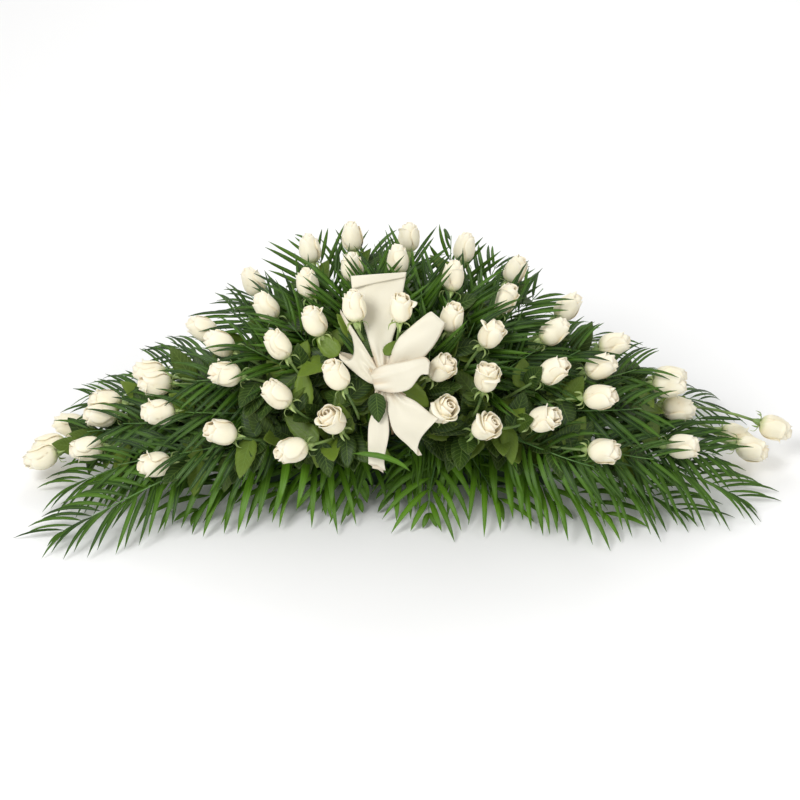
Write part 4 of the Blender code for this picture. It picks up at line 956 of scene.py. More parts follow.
class Wire:
    """An output socket of a node tree, so that maths on it reads as an expression."""

    __add__ = __radd__ = operator("ADD")
    __sub__ = operator("SUBTRACT")
    __rsub__ = operator("SUBTRACT", swapped=True)
    __mul__ = __rmul__ = operator("MULTIPLY")
    __pow__ = operator("POWER")

    def __init__(self, graph: "Graph", socket: NodeSocket) -> None:
        """Wraps one output socket of a graph."""
        self.graph = graph
        self.socket = socket

    def joined(self, operation: str, other: "Wire | float | tuple", swapped: bool) -> "Wire":
        """This value and another, joined by an operation on numbers, on vectors or on both.

        Args:
            operation: The operation of the node.
            other: The other value.
            swapped: Whether the other value comes first.

        Returns:
            The result's wire.
        """
        values = [other, self] if swapped else [self, other]
        vectors = [isinstance(v, tuple) or isinstance(v, Wire) and v.socket.type == "VECTOR" for v in values]
        if not any(vectors):
            return self.graph.wire("ShaderNodeMath", dict(enumerate(values)), operation=operation)
        if all(vectors):
            return self.graph.wire("ShaderNodeVectorMath", dict(enumerate(values)), operation=operation)
        vector, number = values if vectors[0] else values[::-1]
        return self.graph.wire("ShaderNodeVectorMath", {0: vector, 3: number}, operation="SCALE")

    def named(self, operation: str, *others: "Wire | float") -> "Wire":
        """Any other operation of the Math node on this value."""
        return self.graph.wire("ShaderNodeMath", dict(enumerate([self, *others])), operation=operation)

    def clamped(self) -> "Wire":
        """The value kept from 0 to 1."""
        return self.graph.wire("ShaderNodeClamp", {0: self})

    def fade(self, low: float, high: float) -> "Wire":
        """0 below the low value, 1 above the high one, and smooth between."""
        values = {0: self, 1: low, 2: high, 3: 0.0, 4: 1.0}
        return self.graph.wire("ShaderNodeMapRange", values, interpolation_type="SMOOTHSTEP")

    def from_middle(self) -> "Wire":
        """How far a share lies from the middle."""
        return (self - 0.5).named("ABSOLUTE")

    def waves(self, count: "Wire | float") -> "Wire":
        """A sine wave with this many turns from 0 to 1."""
        return (self * count * tau).named("SINE")

    def parts(self) -> list["Wire"]:
        """The three numbers of a vector."""
        return [Wire(self.graph, out) for out in self.graph.add("ShaderNodeSeparateXYZ", {0: self}).outputs]

    def cross(self, other: "Wire") -> "Wire":
        """Cross product."""
        return self.graph.wire("ShaderNodeVectorMath", {0: self, 1: other}, operation="CROSS_PRODUCT")

    def unit(self) -> "Wire":
        """The vector at length 1."""
        return self.graph.wire("ShaderNodeVectorMath", {0: self}, operation="NORMALIZE")


class Graph:
    """A node tree that is filled one node at a time."""

    def __init__(self, tree: NodeTree) -> None:
        """Wraps a tree."""
        self.tree = tree

    def add(self, kind: str, values: dict | None = None, **settings: object) -> Node:
        """Adds a node.

        Args:
            kind: The node's type.
            values: A plain value or a wire for each input, by number or name.
            **settings: The node's own settings, set before its inputs.

        Returns:
            The new node.
        """
        node = self.tree.nodes.new(kind)
        for name, setting in settings.items():
            setattr(node, name, setting)
        self.feed(node, values or {})
        return node

    def feed(self, node: Node, values: dict) -> None:
        """Gives inputs of a node their plain values or wires."""
        for key, value in values.items():
            if isinstance(value, Wire):
                self.tree.links.new(value.socket, node.inputs[key])
            elif node.inputs[key].type == "RGBA":
                node.inputs[key].default_value = (*value, 1.0)
            else:
                node.inputs[key].default_value = value

    def wire(self, kind: str, values: dict | None = None, output: int = 0, **settings: object) -> Wire:
        """Adds a node and returns one of its outputs."""
        return Wire(self, self.add(kind, values, **settings).outputs[output])

    def mix(self, factor: Wire | float, first: Wire | tuple, second: Wire | tuple) -> Wire:
        """Mixes two colours."""
        return self.wire("ShaderNodeMix", {0: factor, 6: first, 7: second}, output=2, data_type="RGBA")

    def noise(self, place: Wire, scale: float, detail: float = 3.0) -> Wire:
        """Soft noise from 0 to 1."""
        values = {"Vector": place, "Scale": scale, "Detail": detail, "Roughness": 0.5}
        return self.wire("ShaderNodeTexNoise", values)

    def attribute(self, name: str) -> Wire:
        """A number stored on the mesh."""
        return self.wire("ShaderNodeAttribute", output=2, attribute_name=name)


@dataclass(frozen=True)
class Finish:
    """A surface finish. Each kind says how its colour, relief and roughness vary."""

    name: str
    roughness: float = 0.5
    sheen: float = 0.0
    coat: float = 0.0
    soft_light: float = 0.0
    relief_depth: float = 0.0005
    relief_strength: float = 0.4
    specular: float = 0.5

    def colour(self, graph: Graph) -> Wire:
        """The colour over the surface."""
        raise NotImplementedError

    def relief(self, graph: Graph) -> Wire | None:
        """The height of the fine relief, if there is any."""
        return None

    def gloss(self, graph: Graph) -> Wire | float:
        """The roughness over the surface."""
        return self.roughness

    def material(self) -> Material:
        """The finished material, made once."""
        found = bpy.data.materials.get(self.name)
        if found:
            return found
        made = bpy.data.materials.new(self.name)
        made.use_nodes = True
        graph = Graph(made.node_tree)
        inputs = {
            "Sheen Weight": self.sheen, "Coat Weight": self.coat, "Coat Roughness": 0.2,
            "Specular IOR Level": self.specular, "Subsurface Weight": self.soft_light,
            "Subsurface Radius": (1.0, 0.8, 0.5), "Subsurface Scale": 0.004,
            "Base Color": self.colour(graph), "Roughness": self.gloss(graph),
        }
        height = self.relief(graph)
        if height is not None:
            bump = {"Height": height, "Strength": self.relief_strength, "Distance": self.relief_depth}
            inputs["Normal"] = graph.wire("ShaderNodeBump", bump)
        graph.feed(made.node_tree.nodes["Principled BSDF"], inputs)
        return made

    def uv(self, graph: Graph) -> list[Wire]:
        """The piece's own coordinates: across and along."""
        return graph.wire("ShaderNodeTexCoord", output=2).parts()[:2]

    def place(self, graph: Graph) -> Wire:
        """The place on the object."""
        return graph.wire("ShaderNodeTexCoord", output=3)

    def streaks(self, graph: Graph, across: float, length: float, detail: float = 4.0) -> Wire:
        """Noise drawn out along the piece, different from part to part."""
        u, v = self.uv(graph)
        values = {0: u * across, 1: v * length, 2: graph.attribute("tone") * 37.0}
        return graph.noise(graph.wire("ShaderNodeCombineXYZ", values), 1.0, detail)


@dataclass(frozen=True)
class PetalFinish(Finish):
    """Creamy white petal: green at its base, peach in the heart partly as painted shade, a painted highlight
    towards the top, painted shade lines at the sides, with faint veins.
    """

    ivory: tuple = (0.95, 0.875, 0.64)
    rim_highlight: tuple = (0.95, 0.895, 0.74)
    peach: tuple = (0.91, 0.69, 0.43)
    base: tuple = (0.62, 0.66, 0.27)

    def colour(self, graph: Graph) -> Wire:
        """Ivory, with the peach heart that is partly painted shade, a painted highlight towards the top,
        painted shade lines at the side edges and the green base.
        """
        u, v = self.uv(graph)
        cloud = graph.noise(self.place(graph), 45.0)
        # peach from the tone: the heart's own colour, and painted shade deep in the head and under
        # overlapping petals
        heart_and_shade = (graph.attribute("tone") * 0.75 + (cloud - 0.5) * 0.5).clamped()
        tint = graph.mix(heart_and_shade, self.ivory, self.peach)
        # painted highlight: paler towards the top of each petal
        tint = graph.mix(v.fade(0.55, 1.0) * 0.6, tint, self.rim_highlight)
        # painted shade: a darker peach line along each side edge
        tint = graph.mix(u.from_middle().fade(0.44, 0.5) * 0.45, tint, self.peach)
        tint = graph.mix(self.streaks(graph, 46.0, 2.2).fade(0.45, 0.75) * 0.1, tint, self.base)
        return graph.mix((1.0 - v.fade(0.03, 0.22)) * 0.7, tint, self.base)

    def relief(self, graph: Graph) -> Wire:
        """Fine veins along the petal."""
        return self.streaks(graph, 60.0, 2.5)


@dataclass(frozen=True)
class LeafletFinish(Finish):
    """Palm leaflet: parallel veins, a pale middle rib and a waxy gloss."""

    dark: tuple = (0.014, 0.044, 0.004)
    bright: tuple = (0.125, 0.29, 0.015)
    rib: tuple = (0.17, 0.32, 0.035)
    veins: float = 14.0

    def colour(self, graph: Graph) -> Wire:
        """Dark to bright green from leaflet to leaflet and along each, with veins."""
        u, v = self.uv(graph)
        patch = graph.noise(self.place(graph), 9.0, 2.0)
        # the tone holds random shades and painted light on the low leaflets
        share = (graph.attribute("tone") * 0.8 + patch.fade(0.35, 0.7) * 0.25 + v * 0.1 - 0.15).clamped()
        tint = graph.mix(share, self.dark, self.bright)
        tint = graph.mix((u.waves(self.veins) * 0.5 + 0.5) * 0.35, tint, self.dark)
        return graph.mix((1.0 - u.from_middle().fade(0.01, 0.05)) * 0.6, tint, self.rib)

    def relief(self, graph: Graph) -> Wire:
        """Parallel veins with the middle rib standing out."""
        u, _ = self.uv(graph)
        return u.waves(self.veins) * 0.35 - u.from_middle().fade(0.0, 0.08)

    def gloss(self, graph: Graph) -> Wire:
        """Waxy, and a little duller in patches."""
        return graph.noise(self.place(graph), 30.0) * 0.22 + (self.roughness - 0.11)


@dataclass(frozen=True)
class RoseLeafFinish(Finish):
    """Rose leaf: a net of side veins that slant to the toothed edge."""

    dark: tuple = (0.012, 0.034, 0.006)
    bright: tuple = (0.15, 0.225, 0.026)
    vein: tuple = (0.13, 0.21, 0.04)

    def side_veins(self, graph: Graph) -> Wire:
        """1 on a side vein and 0 between them."""
        u, v = self.uv(graph)
        off = u.from_middle()
        wave = ((v * 9.0 - off * 4.0) * tau).named("SINE") * 0.5 + 0.5
        return wave.fade(0.9, 1.0).named("MAXIMUM", 1.0 - off.fade(0.008, 0.035))

    def colour(self, graph: Graph) -> Wire:
        """Mottled green with paler veins."""
        patch = graph.noise(self.place(graph), 60.0, 4.0)
        share = (graph.attribute("tone").fade(0.5, 1.0) * 0.85 + patch * 0.4 - 0.1).clamped()
        tint = graph.mix(share, self.dark, self.bright)
        return graph.mix(self.side_veins(graph) * 0.55, tint, self.vein)

    def relief(self, graph: Graph) -> Wire:
        """Sunken veins between puffed fields."""
        return graph.noise(self.place(graph), 220.0) * 0.4 - self.side_veins(graph)

    def gloss(self, graph: Graph) -> Wire:
        """Satin, duller along the veins."""
        return self.side_veins(graph) * 0.12 + self.roughness


@dataclass(frozen=True)
class SatinFinish(Finish):
    """Ivory satin ribbon: a fine weave, faint streaks and painted tan shade in its pleats, folds and creases.
    """

    ivory: tuple = (0.758, 0.712, 0.568)
    streak: tuple = (0.735, 0.675, 0.52)
    # painted shade: tan for pleat valleys, folds, creases and the back layer of loops
    shade: tuple = (0.62, 0.45, 0.27)
    threads: float = 260.0

    def colour(self, graph: Graph) -> Wire:
        """Ivory, with painted tan shade in pleat valleys, folds, creases and the back of loops."""
        streaks = self.streaks(graph, 40.0, 1.2, 3.0)
        tint = graph.mix((streaks - 0.4).clamped() * 0.35, self.ivory, self.streak)
        return graph.mix((graph.attribute("tone") * (0.35 + streaks)).clamped() * 0.75, tint, self.shade)

    def relief(self, graph: Graph) -> Wire:
        """The weave."""
        u, v = self.uv(graph)
        return u.waves(self.threads) * v.waves(self.threads * 1.6)

    def gloss(self, graph: Graph) -> Wire:
        """Satin with streaks."""
        return self.streaks(graph, 60.0, 2.0, 2.0) * 0.18 + (self.roughness - 0.09)


@dataclass(frozen=True)
class MottledFinish(Finish):
    """Stem, rib, plastic, wood or floor: patches of two tones, small flecks and a fine grain.

    Patches are a scale, where their edge begins and ends and how strong they are; flecks the same
    three numbers and their colour.
    """

    ground: tuple = (0.075, 0.14, 0.03)
    other: tuple = (0.23, 0.34, 0.09)
    patches: tuple = (22.0, 0.3, 0.7, 1.0)
    flecks: tuple = (260.0, 0.62, 0.75, (0.3, 0.25, 0.12))
    grain: float = 320.0
    patch_stretch: tuple = ()
    grain_stretch: tuple = ()

    def spread(self, graph: Graph, stretch: tuple) -> Wire:
        """The place on the object, drawn out where there is a stretch."""
        return self.place(graph) * stretch if stretch else self.place(graph)

    def colour(self, graph: Graph) -> Wire:
        """Patches, with flecks where there are any."""
        scale, low, high, strength = self.patches
        patch = graph.noise(self.spread(graph, self.patch_stretch), scale)
        tint = graph.mix((patch.fade(low, high) if high else patch) * strength, self.ground, self.other)
        if not self.flecks:
            return tint
        scale, low, high, fleck = self.flecks
        return graph.mix(graph.noise(self.place(graph), scale, 2.0).fade(low, high) * 0.5, tint, fleck)

    def relief(self, graph: Graph) -> Wire | None:
        """The grain."""
        return graph.noise(self.spread(graph, self.grain_stretch), self.grain) if self.grain else None


@dataclass(frozen=True)
class FoamFinish(MottledFinish):
    """Soaked floral foam: dark where it holds water, with pale grains and fine open pores."""

    ground: tuple = (0.018, 0.06, 0.028)
    other: tuple = (0.075, 0.17, 0.085)
    patches: tuple = (18.0, 0.35, 0.7, 1.0)
    flecks: tuple = (900.0, 0.55, 0.7, (0.16, 0.3, 0.17))

    def relief(self, graph: Graph) -> Wire:
        """Pores."""
        return graph.wire("ShaderNodeTexVoronoi", {"Vector": self.place(graph), "Scale": 700.0})


class Finishes(Enum):
    """The finishes of the spray."""

    PETAL = PetalFinish("petal skin", roughness=0.52, sheen=0.15, soft_light=0.16, relief_strength=0.25)
    LEAFLET_TOP = LeafletFinish("palm leaflet top", roughness=0.33, coat=0.04, specular=0.28)
    LEAFLET_UNDER = LeafletFinish(
        "palm leaflet underside", roughness=0.5, specular=0.25, dark=(0.04, 0.1, 0.008),
        bright=(0.13, 0.27, 0.02),
    )
    LEAF_TOP = RoseLeafFinish("rose leaf top", roughness=0.42, specular=0.22)
    LEAF_UNDER = RoseLeafFinish(
        "rose leaf underside", roughness=0.55, specular=0.22, dark=(0.1, 0.14, 0.03),
        bright=(0.22, 0.26, 0.07), vein=(0.3, 0.33, 0.12),
    )
    STEM = MottledFinish("rose stem", roughness=0.45)
    CALYX = MottledFinish(
        "calyx", roughness=0.5, ground=(0.21, 0.32, 0.09), other=(0.38, 0.48, 0.17), soft_light=0.1
    )
    RIB = MottledFinish("palm rib", roughness=0.4, ground=(0.06, 0.16, 0.03), other=(0.15, 0.3, 0.07))
    SATIN = SatinFinish(
        "ivory satin", roughness=0.42, sheen=0.35, soft_light=0.04, relief_depth=0.0001, relief_strength=0.3
    )
    FOAM = FoamFinish("floral foam", roughness=0.85, relief_depth=0.0006, relief_strength=0.8)
    TRAY = MottledFinish(
        "moulded tray", roughness=0.42, relief_depth=0.0001, relief_strength=0.3,
        ground=(0.01, 0.032, 0.01), other=(0.022, 0.055, 0.022), patches=(60.0, 0.5, 0.8, 0.5),
        flecks=(), grain=1500.0,
    )
    WOOD = MottledFinish(
        "stake wood", roughness=0.7, relief_depth=0.0003, ground=(0.56, 0.4, 0.23),
        other=(0.33, 0.2, 0.1), patches=(1.0, 0.35, 0.7, 1.0), flecks=(), grain=1.0,
        patch_stretch=(900.0, 60.0, 40.0), grain_stretch=(1200.0, 90.0, 60.0),
    )
    FLOOR = MottledFinish(
        "studio floor", roughness=0.9, ground=(0.93, 0.93, 0.925), other=(0.9, 0.9, 0.895),
        patches=(3.0, 0.0, 0.0, 0.3), flecks=(), grain=0.0,
    )


def stand(name: str, data: ID) -> Object:
    """Puts a mesh, a light or a camera into the scene."""
    made = bpy.data.objects.new(name, data)
    bpy.context.scene.collection.objects.link(made)
    return made


def dress(mesh: Mesh, *finishes: Finishes) -> None:
    """Gives a mesh its materials in order, in place of any that it has."""
    mesh.materials.clear()
    for finish in finishes:
        mesh.materials.append(finish.value.material())


class Patchwork:
    """Grids of points joined into one mesh with its own coordinates and tone."""

    def __init__(self) -> None:
        """Starts empty."""
        self.parts: list[tuple[np.ndarray, np.ndarray, np.ndarray, np.ndarray]] = []
        self.count = 0

    def add(self, grid: np.ndarray, tone: float | np.ndarray = 0.0, round_it: bool = False,
            flip: bool = False) -> None:
        """Adds one grid.

        Args:
            grid: Points by row along and column across.
            tone: A number for the finish, one or by point.
            round_it: Whether the last column joins the first.
            flip: Whether its faces look the other way.
        """
        shape = rows, columns = grid.shape[:2]
        index = np.arange(rows * columns).reshape(shape) + self.count
        if round_it:
            index = np.concatenate([index, index[:, :1]], axis=1)
        quads = np.stack([index[:-1, :-1], index[:-1, 1:], index[1:, 1:], index[1:, :-1]], axis=-1)
        quads = quads.reshape(-1, 4)
        across = np.broadcast_to(np.linspace(0, 1, columns), shape)
        length = np.broadcast_to(np.linspace(0, 1, rows)[:, None], shape)
        places = np.stack([across, length], axis=-1).reshape(-1, 2)
        tones = np.broadcast_to(tone, shape).reshape(-1)
        self.parts.append((grid.reshape(-1, 3), quads[:, ::-1] if flip else quads, places, tones))
        self.count += rows * columns

    def piece(self, name: str, *finishes: Finishes) -> Object:
        """Makes the object with its materials, in the scene."""
        points, faces, places, tones = (np.concatenate(column) for column in zip(*self.parts))
        mesh = bpy.data.meshes.new(name)
        mesh.from_pydata(points.tolist(), [], faces.tolist())
        corners = np.zeros(len(mesh.loops), np.int32)
        mesh.loops.foreach_get("vertex_index", corners)
        layer = mesh.uv_layers.new(name="UVMap")
        layer.data.foreach_set("uv", places.astype(np.float32)[corners].reshape(-1))
        tone = mesh.attributes.new("tone", "FLOAT", "POINT")
        tone.data.foreach_set("value", tones.astype(np.float32))
        dress(mesh, *finishes)
        mesh.shade_smooth()
        mesh.update()
        return stand(name, mesh)


def thicken(piece: Object, thickness: float, offset: float = 0.0, under: int = 0) -> None:
    """Gives a sheet its thickness.

    Args:
        piece: The sheet.
        thickness: Its thickness.
        offset: -1 to grow below its face, 0 to both sides.
        under: How many materials further the new side's material is.
    """
    solid = piece.modifiers.new("thickness", "SOLIDIFY")
    solid.thickness = thickness
    solid.offset = offset
    solid.use_even_offset = False
    solid.material_offset = under
    solid.material_offset_rim = under


def settle(piece: Object, slot: str, *nodes: str) -> None:
    """Fixes a finished piece to the frame and reports it.

    Args:
        piece: The finished piece.
        slot: Not used.
        *nodes: The CAD nodes that it stands for.
    """
    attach(piece, BODY)
    if nodes:
        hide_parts(*nodes)
    LOG.info("%s: %d faces", piece.name, len(piece.data.polygons))


@dataclass(frozen=True)
class PetalLayer:
    """One ring of petals: how far in it lies, its height, width, lip, twist, openness and tone."""

    inset: float
    height: float
    spread: float
    lip: float
    twist: float
    looseness: float
    tone: float


@dataclass
class RoseBlooms:
    """The rose heads: big petals that wrap over each other round a rolled heart."""

    rows: int = 12
    columns: int = 11
    radius: float = 0.023
    length: float = 0.0612
    thickness: float = 0.0005
    tuck: float = 0.085
    petals_a_layer: int = 3
    heights: tuple[float, ...] = (0.0, 0.05, 0.14, 0.28, 0.44, 0.6, 0.75, 0.88, 1.0)
    closed: tuple[float, ...] = (0.24, 0.5, 0.8, 0.97, 1.0, 0.93, 0.79, 0.64, 0.48)
    open: tuple[float, ...] = (0.22, 0.45, 0.73, 0.93, 1.0, 1.01, 1.02, 1.04, 1.08)
    layers: tuple[PetalLayer, ...] = (
        PetalLayer(0.0, 0.87, 1.22, 0.004, 0.75, 1.0, 0.0),
        PetalLayer(0.0014, 0.94, 1.28, 0.0026, 0.6, 0.86, 0.06),
        PetalLayer(0.0028, 1.0, 1.32, 0.0014, 0.5, 0.7, 0.16),
    )

    def reach(self, share: np.ndarray, opened: float) -> np.ndarray:
        """The head's radius at a share of its height."""
        closed = np.interp(share, self.heights, self.closed)
        return self.radius * (closed + opened * (np.interp(share, self.heights, self.open) - closed))

    def petal(self, layer: PetalLayer, opened: float, turn: float, chance: Random) -> np.ndarray:
        """One petal in the head's own frame: two coordinates across and one up.

        Args:
            layer: The ring that it belongs to.
            opened: How far the head is open.
            turn: Where its middle stands round the axis.
            chance: Random draws.

        Returns:
            Its points by row from the base and column across.
        """
        v = np.linspace(0, 1, self.rows)[:, None] ** 0.9
        u = np.linspace(-1, 1, self.columns)[None, :]
        height = layer.height * (1.0 + chance.uniform(-0.05, 0.02)) * (1.0 - 0.1 * opened)
        lip = layer.lip * chance.choice((0.3, 0.9, 2.2)) * (0.8 + 1.5 * opened)
        phase = chance.uniform(0.0, tau)
        radius = self.reach(v * height, opened * layer.looseness) - layer.inset * np.clip(v / 0.2, 0, 1)
        roll = np.clip((v - 0.76) / 0.24, 0, 1) ** 1.6
        radius = radius + lip * roll * (1.0 - 0.45 * np.abs(u))
        radius = radius * (1.0 + self.tuck * u * (0.3 + 0.7 * v))
        radius = radius + 0.0006 * np.sin(2.6 * u + phase) * v ** 2
        half = layer.spread * (0.34 + 0.66 * np.sin(pi * (0.1 + 0.56 * v)))
        half = half * (1.0 - 0.38 * np.clip((v - 0.55) / 0.45, 0, 1) ** 1.6)
        round_turn = turn + half * u + layer.twist * chance.uniform(0.5, 1.4) * v ** 1.4
        corner = np.abs(u) ** 2.2 * np.clip((v - 0.4) / 0.6, 0, 1) ** 1.5
        up = self.length * height * (v - 0.09 * corner)
        up = up - 0.55 * lip * roll ** 1.5 + 0.0007 * np.sin(2.1 * u + phase) * v ** 3
        up = np.broadcast_to(up, round_turn.shape)
        return np.stack([radius * np.cos(round_turn), radius * np.sin(round_turn), up], axis=-1)

    def heart(self, opened: float, chance: Random) -> np.ndarray:
        """The heart: one sheet rolled round the axis, which closes over the top.

        Args:
            opened: How far the head is open.
            chance: Random draws.

        Returns:
            Its points in the head's own frame.
        """
        s = np.linspace(0, 1, 40)[None, :]
        t = np.linspace(0.3, 1.0, 6)[:, None]
        turn = tau * (1.6 + 0.5 * opened) * s + chance.uniform(0.0, tau)
        top = (1.0 - 0.1 * opened) + 0.02 * np.sin(1.3 * turn) - 0.05 * (1.0 - s)
        size = self.reach(t * top, 0.62 * opened) - 0.0036
        size = size * (0.06 + 0.94 * s ** 0.8) * (1.0 + 0.07 * np.sin(1.9 * turn) * t)
        size = size * (1.0 - 0.22 * opened * np.clip((t - 0.6) / 0.4, 0, 1) ** 2)
        up = np.broadcast_to(self.length * t * top, size.shape)
        return np.stack([size * np.cos(turn), size * np.sin(turn), up], axis=-1)

    def add_head(self, rose: Rose, patches: Patchwork) -> None:
        """Adds all petals of one head.

        Args:
            rose: The rose.
            patches: The grids of its piece.
        """
        chance = Random(1000 + rose.number)
        side, other = frame_on(rose.axis)
        opened = 0.74 * share_between(rose.opened, 0.15, 1.0)
        size = 1.01 - 0.14 * share_between(rose.place.dot(UPWARD), 0.1, 0.34) - 0.13 * opened
        slim = size * (0.92 + 0.08 * opened)
        basis = np.array([slim * side, slim * other, size * rose.axis])
        foot = np.array(rose.foot)
        spin = GOLDEN_TURN * rose.number
        for level, layer in enumerate(self.layers):
            for index in range(self.petals_a_layer):
                step = (index + 0.45 * level) * tau / self.petals_a_layer
                local = self.petal(layer, opened, spin + step + chance.uniform(-0.15, 0.15), chance)
                u = np.linspace(-1, 1, self.columns)[None, :]
                # tone for the peach: deeper rings get more, and the side tucked under the next petal gets
                # painted shade
                patches.add(foot + local @ basis, layer.tone + 0.06 * (1.0 - u), flip=True)
        # the rolled heart: its peach colour together with painted shade deep in the head
        patches.add(foot + self.heart(opened, chance) @ basis, 0.45 + 0.35 * opened, flip=True)

    def build(self, roses: Sequence[Rose]) -> None:
        """Makes one piece for each solid of rose heads."""
        for group in sorted({rose.group for rose in roses}):
            patches = Patchwork()
            for rose in roses:
                if rose.group == group:
                    self.add_head(rose, patches)
            label = "_".join(f"{number:02d}" for number in group)
            bloom = patches.piece("bloom_" + label, Finishes.PETAL)
            thicken(bloom, self.thickness)
            settle(bloom, "petal", "rose_head_" + label)


class NodeRecipe:
    """A Geometry Nodes tree with named inputs, which turns a plain guide mesh into a piece."""

    def __init__(self, name: str, sizes: dict[str, float]) -> None:
        """Makes the tree with its inputs.

        Args:
            name: The tree's name.
            sizes: The named sizes and their values.
        """
        self.tree = bpy.data.node_groups.new(name, "GeometryNodeTree")
        for way in ("INPUT", "OUTPUT"):
            self.tree.interface.new_socket("Geometry", in_out=way, socket_type="NodeSocketGeometry")
        self.sizes = sizes
        kinds = {label: "Int" if isinstance(size, int) else "Float" for label, size in sizes.items()}
        new_socket = self.tree.interface.new_socket
        self.sockets = {
            label: new_socket(label, in_out="INPUT", socket_type="NodeSocket" + kind).identifier
            for label, kind in (kinds | {"Finish": "Material"}).items()
        }
        self.graph = Graph(self.tree)
        self.inputs = self.graph.add("NodeGroupInput")

    def given(self, label: str) -> Wire:
        """The wire of a named input."""
        return Wire(self.graph, self.inputs.outputs[label])

    def stored(self, name: str, kind: str = "FLOAT") -> Wire:
        """A named attribute of the guide mesh."""
        return self.graph.wire("GeometryNodeInputNamedAttribute", {"Name": name}, data_type=kind)

    def store(self, geometry: Wire, name: str, value: Wire, kind: str = "FLOAT",
              domain: str = "POINT") -> Wire:
        """Stores a value on the mesh."""
        values = {"Geometry": geometry, "Name": name, "Value": value}
        return self.graph.wire("GeometryNodeStoreNamedAttribute", values, data_type=kind, domain=domain)

    def close(self, geometry: Wire) -> None:
        """Ends the tree with realised, smooth and dressed geometry."""
        whole = self.graph.wire("GeometryNodeRealizeInstances", {0: geometry})
        smooth = self.graph.wire("GeometryNodeSetShadeSmooth", {0: whole})
        dressed = self.graph.wire("GeometryNodeSetMaterial", {0: smooth, "Material": self.given("Finish")})
        self.graph.add("NodeGroupOutput", {0: dressed})

    def grow(self, name: str, guide: Mesh, *finishes: Finishes) -> Object:
        """Runs the tree on a guide mesh and keeps the result as a plain mesh.

        Args:
            name: The piece's name.
            guide: The guide mesh.
            *finishes: The piece's materials; the tree sets the first.

        Returns:
            The new object, with no modifier.
        """
        holder = stand(name + " guide", guide)
        modifier = holder.modifiers.new("grow", "NODES")
        modifier.node_group = self.tree
        for label, value in (self.sizes | {"Finish": finishes[0].value.material()}).items():
            modifier[self.sockets[label]] = value
        mesh = bpy.data.meshes.new_from_object(holder.evaluated_get(bpy.context.evaluated_depsgraph_get()))
        mesh.name = name
        dress(mesh, *finishes)
        bpy.data.objects.remove(holder)
        return stand(name, mesh)


class TubeRecipe(NodeRecipe):
    """Round tubes along the edges of a guide mesh, as thick as its points say."""

    def __init__(self, sides: int) -> None:
        """Builds the tree for tubes with this many sides."""
        super().__init__("tubes along lines", {"Sides": sides})
        line = self.graph.wire("GeometryNodeMeshToCurve", {0: self.given("Geometry")})
        thick = self.graph.wire("GeometryNodeSetCurveRadius", {0: line, "Radius": self.stored("thick")})
        values = {"Resolution": self.given("Sides"), "Radius": 1.0}
        ring = self.graph.wire("GeometryNodeCurvePrimitiveCircle", values, mode="RADIUS")
        values = {"Curve": thick, "Profile Curve": ring, "Scale": self.stored("thick"), "Fill Caps": True}
        self.close(self.graph.wire("GeometryNodeCurveToMesh", values))


class LeafletRecipe(NodeRecipe):
    """A narrow leaflet on every point of a guide mesh, bent along its own curve."""

    def __init__(self, rows: int, fold: float) -> None:
        """Builds the tree.

        Args:
            rows: Rows of points along a leaflet.
            fold: How deep the middle rib lies, as a share of the half width.
        """
        super().__init__("palm leaflets", {"Rows": rows, "Fold": fold})
        grid_values = {"Size X": 2.0, "Size Y": 1.0, "Vertices X": 3, "Vertices Y": self.given("Rows")}
        flat = self.graph.wire("GeometryNodeMeshGrid", grid_values)
        x, y, _ = self.graph.wire("GeometryNodeInputPosition").parts()
        flat = self.store(flat, "across", x)
        flat = self.store(flat, "length", y + 0.5)
        values = {"Points": self.given("Geometry"), "Instance": flat}
        many = self.graph.wire("GeometryNodeInstanceOnPoints", values)
        many = self.graph.wire("GeometryNodeRealizeInstances", {0: many})
        u, v = self.stored("across"), self.stored("length")
        w = 1.0 - v
        root, bend, tip = (self.stored(name, "FLOAT_VECTOR") for name in ("root", "bend", "tip"))
        curve = root * (w * w) + bend * (w * v * 2.0) + tip * (v * v)
        ahead = ((bend - root) * w + (tip - bend) * v).unit()
        face = self.stored("face", "FLOAT_VECTOR")
        side = ahead.cross(face).unit()
        up = side.cross(ahead)
        half = self.stored("half") * (v ** 0.55) * (w ** 0.8) * 1.72
        lift = u.named("ABSOLUTE") * half * self.given("Fold")
        place = curve + side * (u * half) + up * lift
        many = self.graph.wire("GeometryNodeSetPosition", {0: many, "Position": place})
        spot = self.graph.wire("ShaderNodeCombineXYZ", {0: u * 0.5 + 0.5, 1: v, 2: 0.0})
        many = self.store(many, "UVMap", spot, "FLOAT2", "CORNER")
        self.close(many)


def guide_mesh(points: Points, values: dict[str, Sequence],
               edges: Sequence[tuple[int, int]] = ()) -> Mesh:
    """A mesh of points and edges that carries named values.

    Args:
        points: Its points.
        values: Numbers or vectors by name, one for each point.
        edges: Its edges.

    Returns:
        The mesh.
    """
    mesh = bpy.data.meshes.new("guide")
    mesh.from_pydata([tuple(point) for point in points], list(edges), [])
    for label, value in values.items():
        numbers = np.array(value, np.float32)
        kind, key = ("FLOAT", "value") if numbers.ndim == 1 else ("FLOAT_VECTOR", "vector")
        mesh.attributes.new(label, kind, "POINT").data.foreach_set(key, numbers.reshape(-1))
    return mesh


class Lines:
    """Polylines with a thickness at each point."""

    def __init__(self) -> None:
        """Starts empty."""
        self.points: list[Vector] = []
        self.edges: list[tuple[int, int]] = []
        self.thick: list[float] = []

    def add(self, path: Points, radii: Sequence[float]) -> None:
        """Adds one line with its radii."""
        start = len(self.points)
        self.points.extend(path)
        self.thick.extend(radii)
        self.edges.extend((start + i, start + i + 1) for i in range(len(path) - 1))

    def mesh(self) -> Mesh:
        """The lines as a guide mesh."""
        return guide_mesh(self.points, {"thick": self.thick}, self.edges)


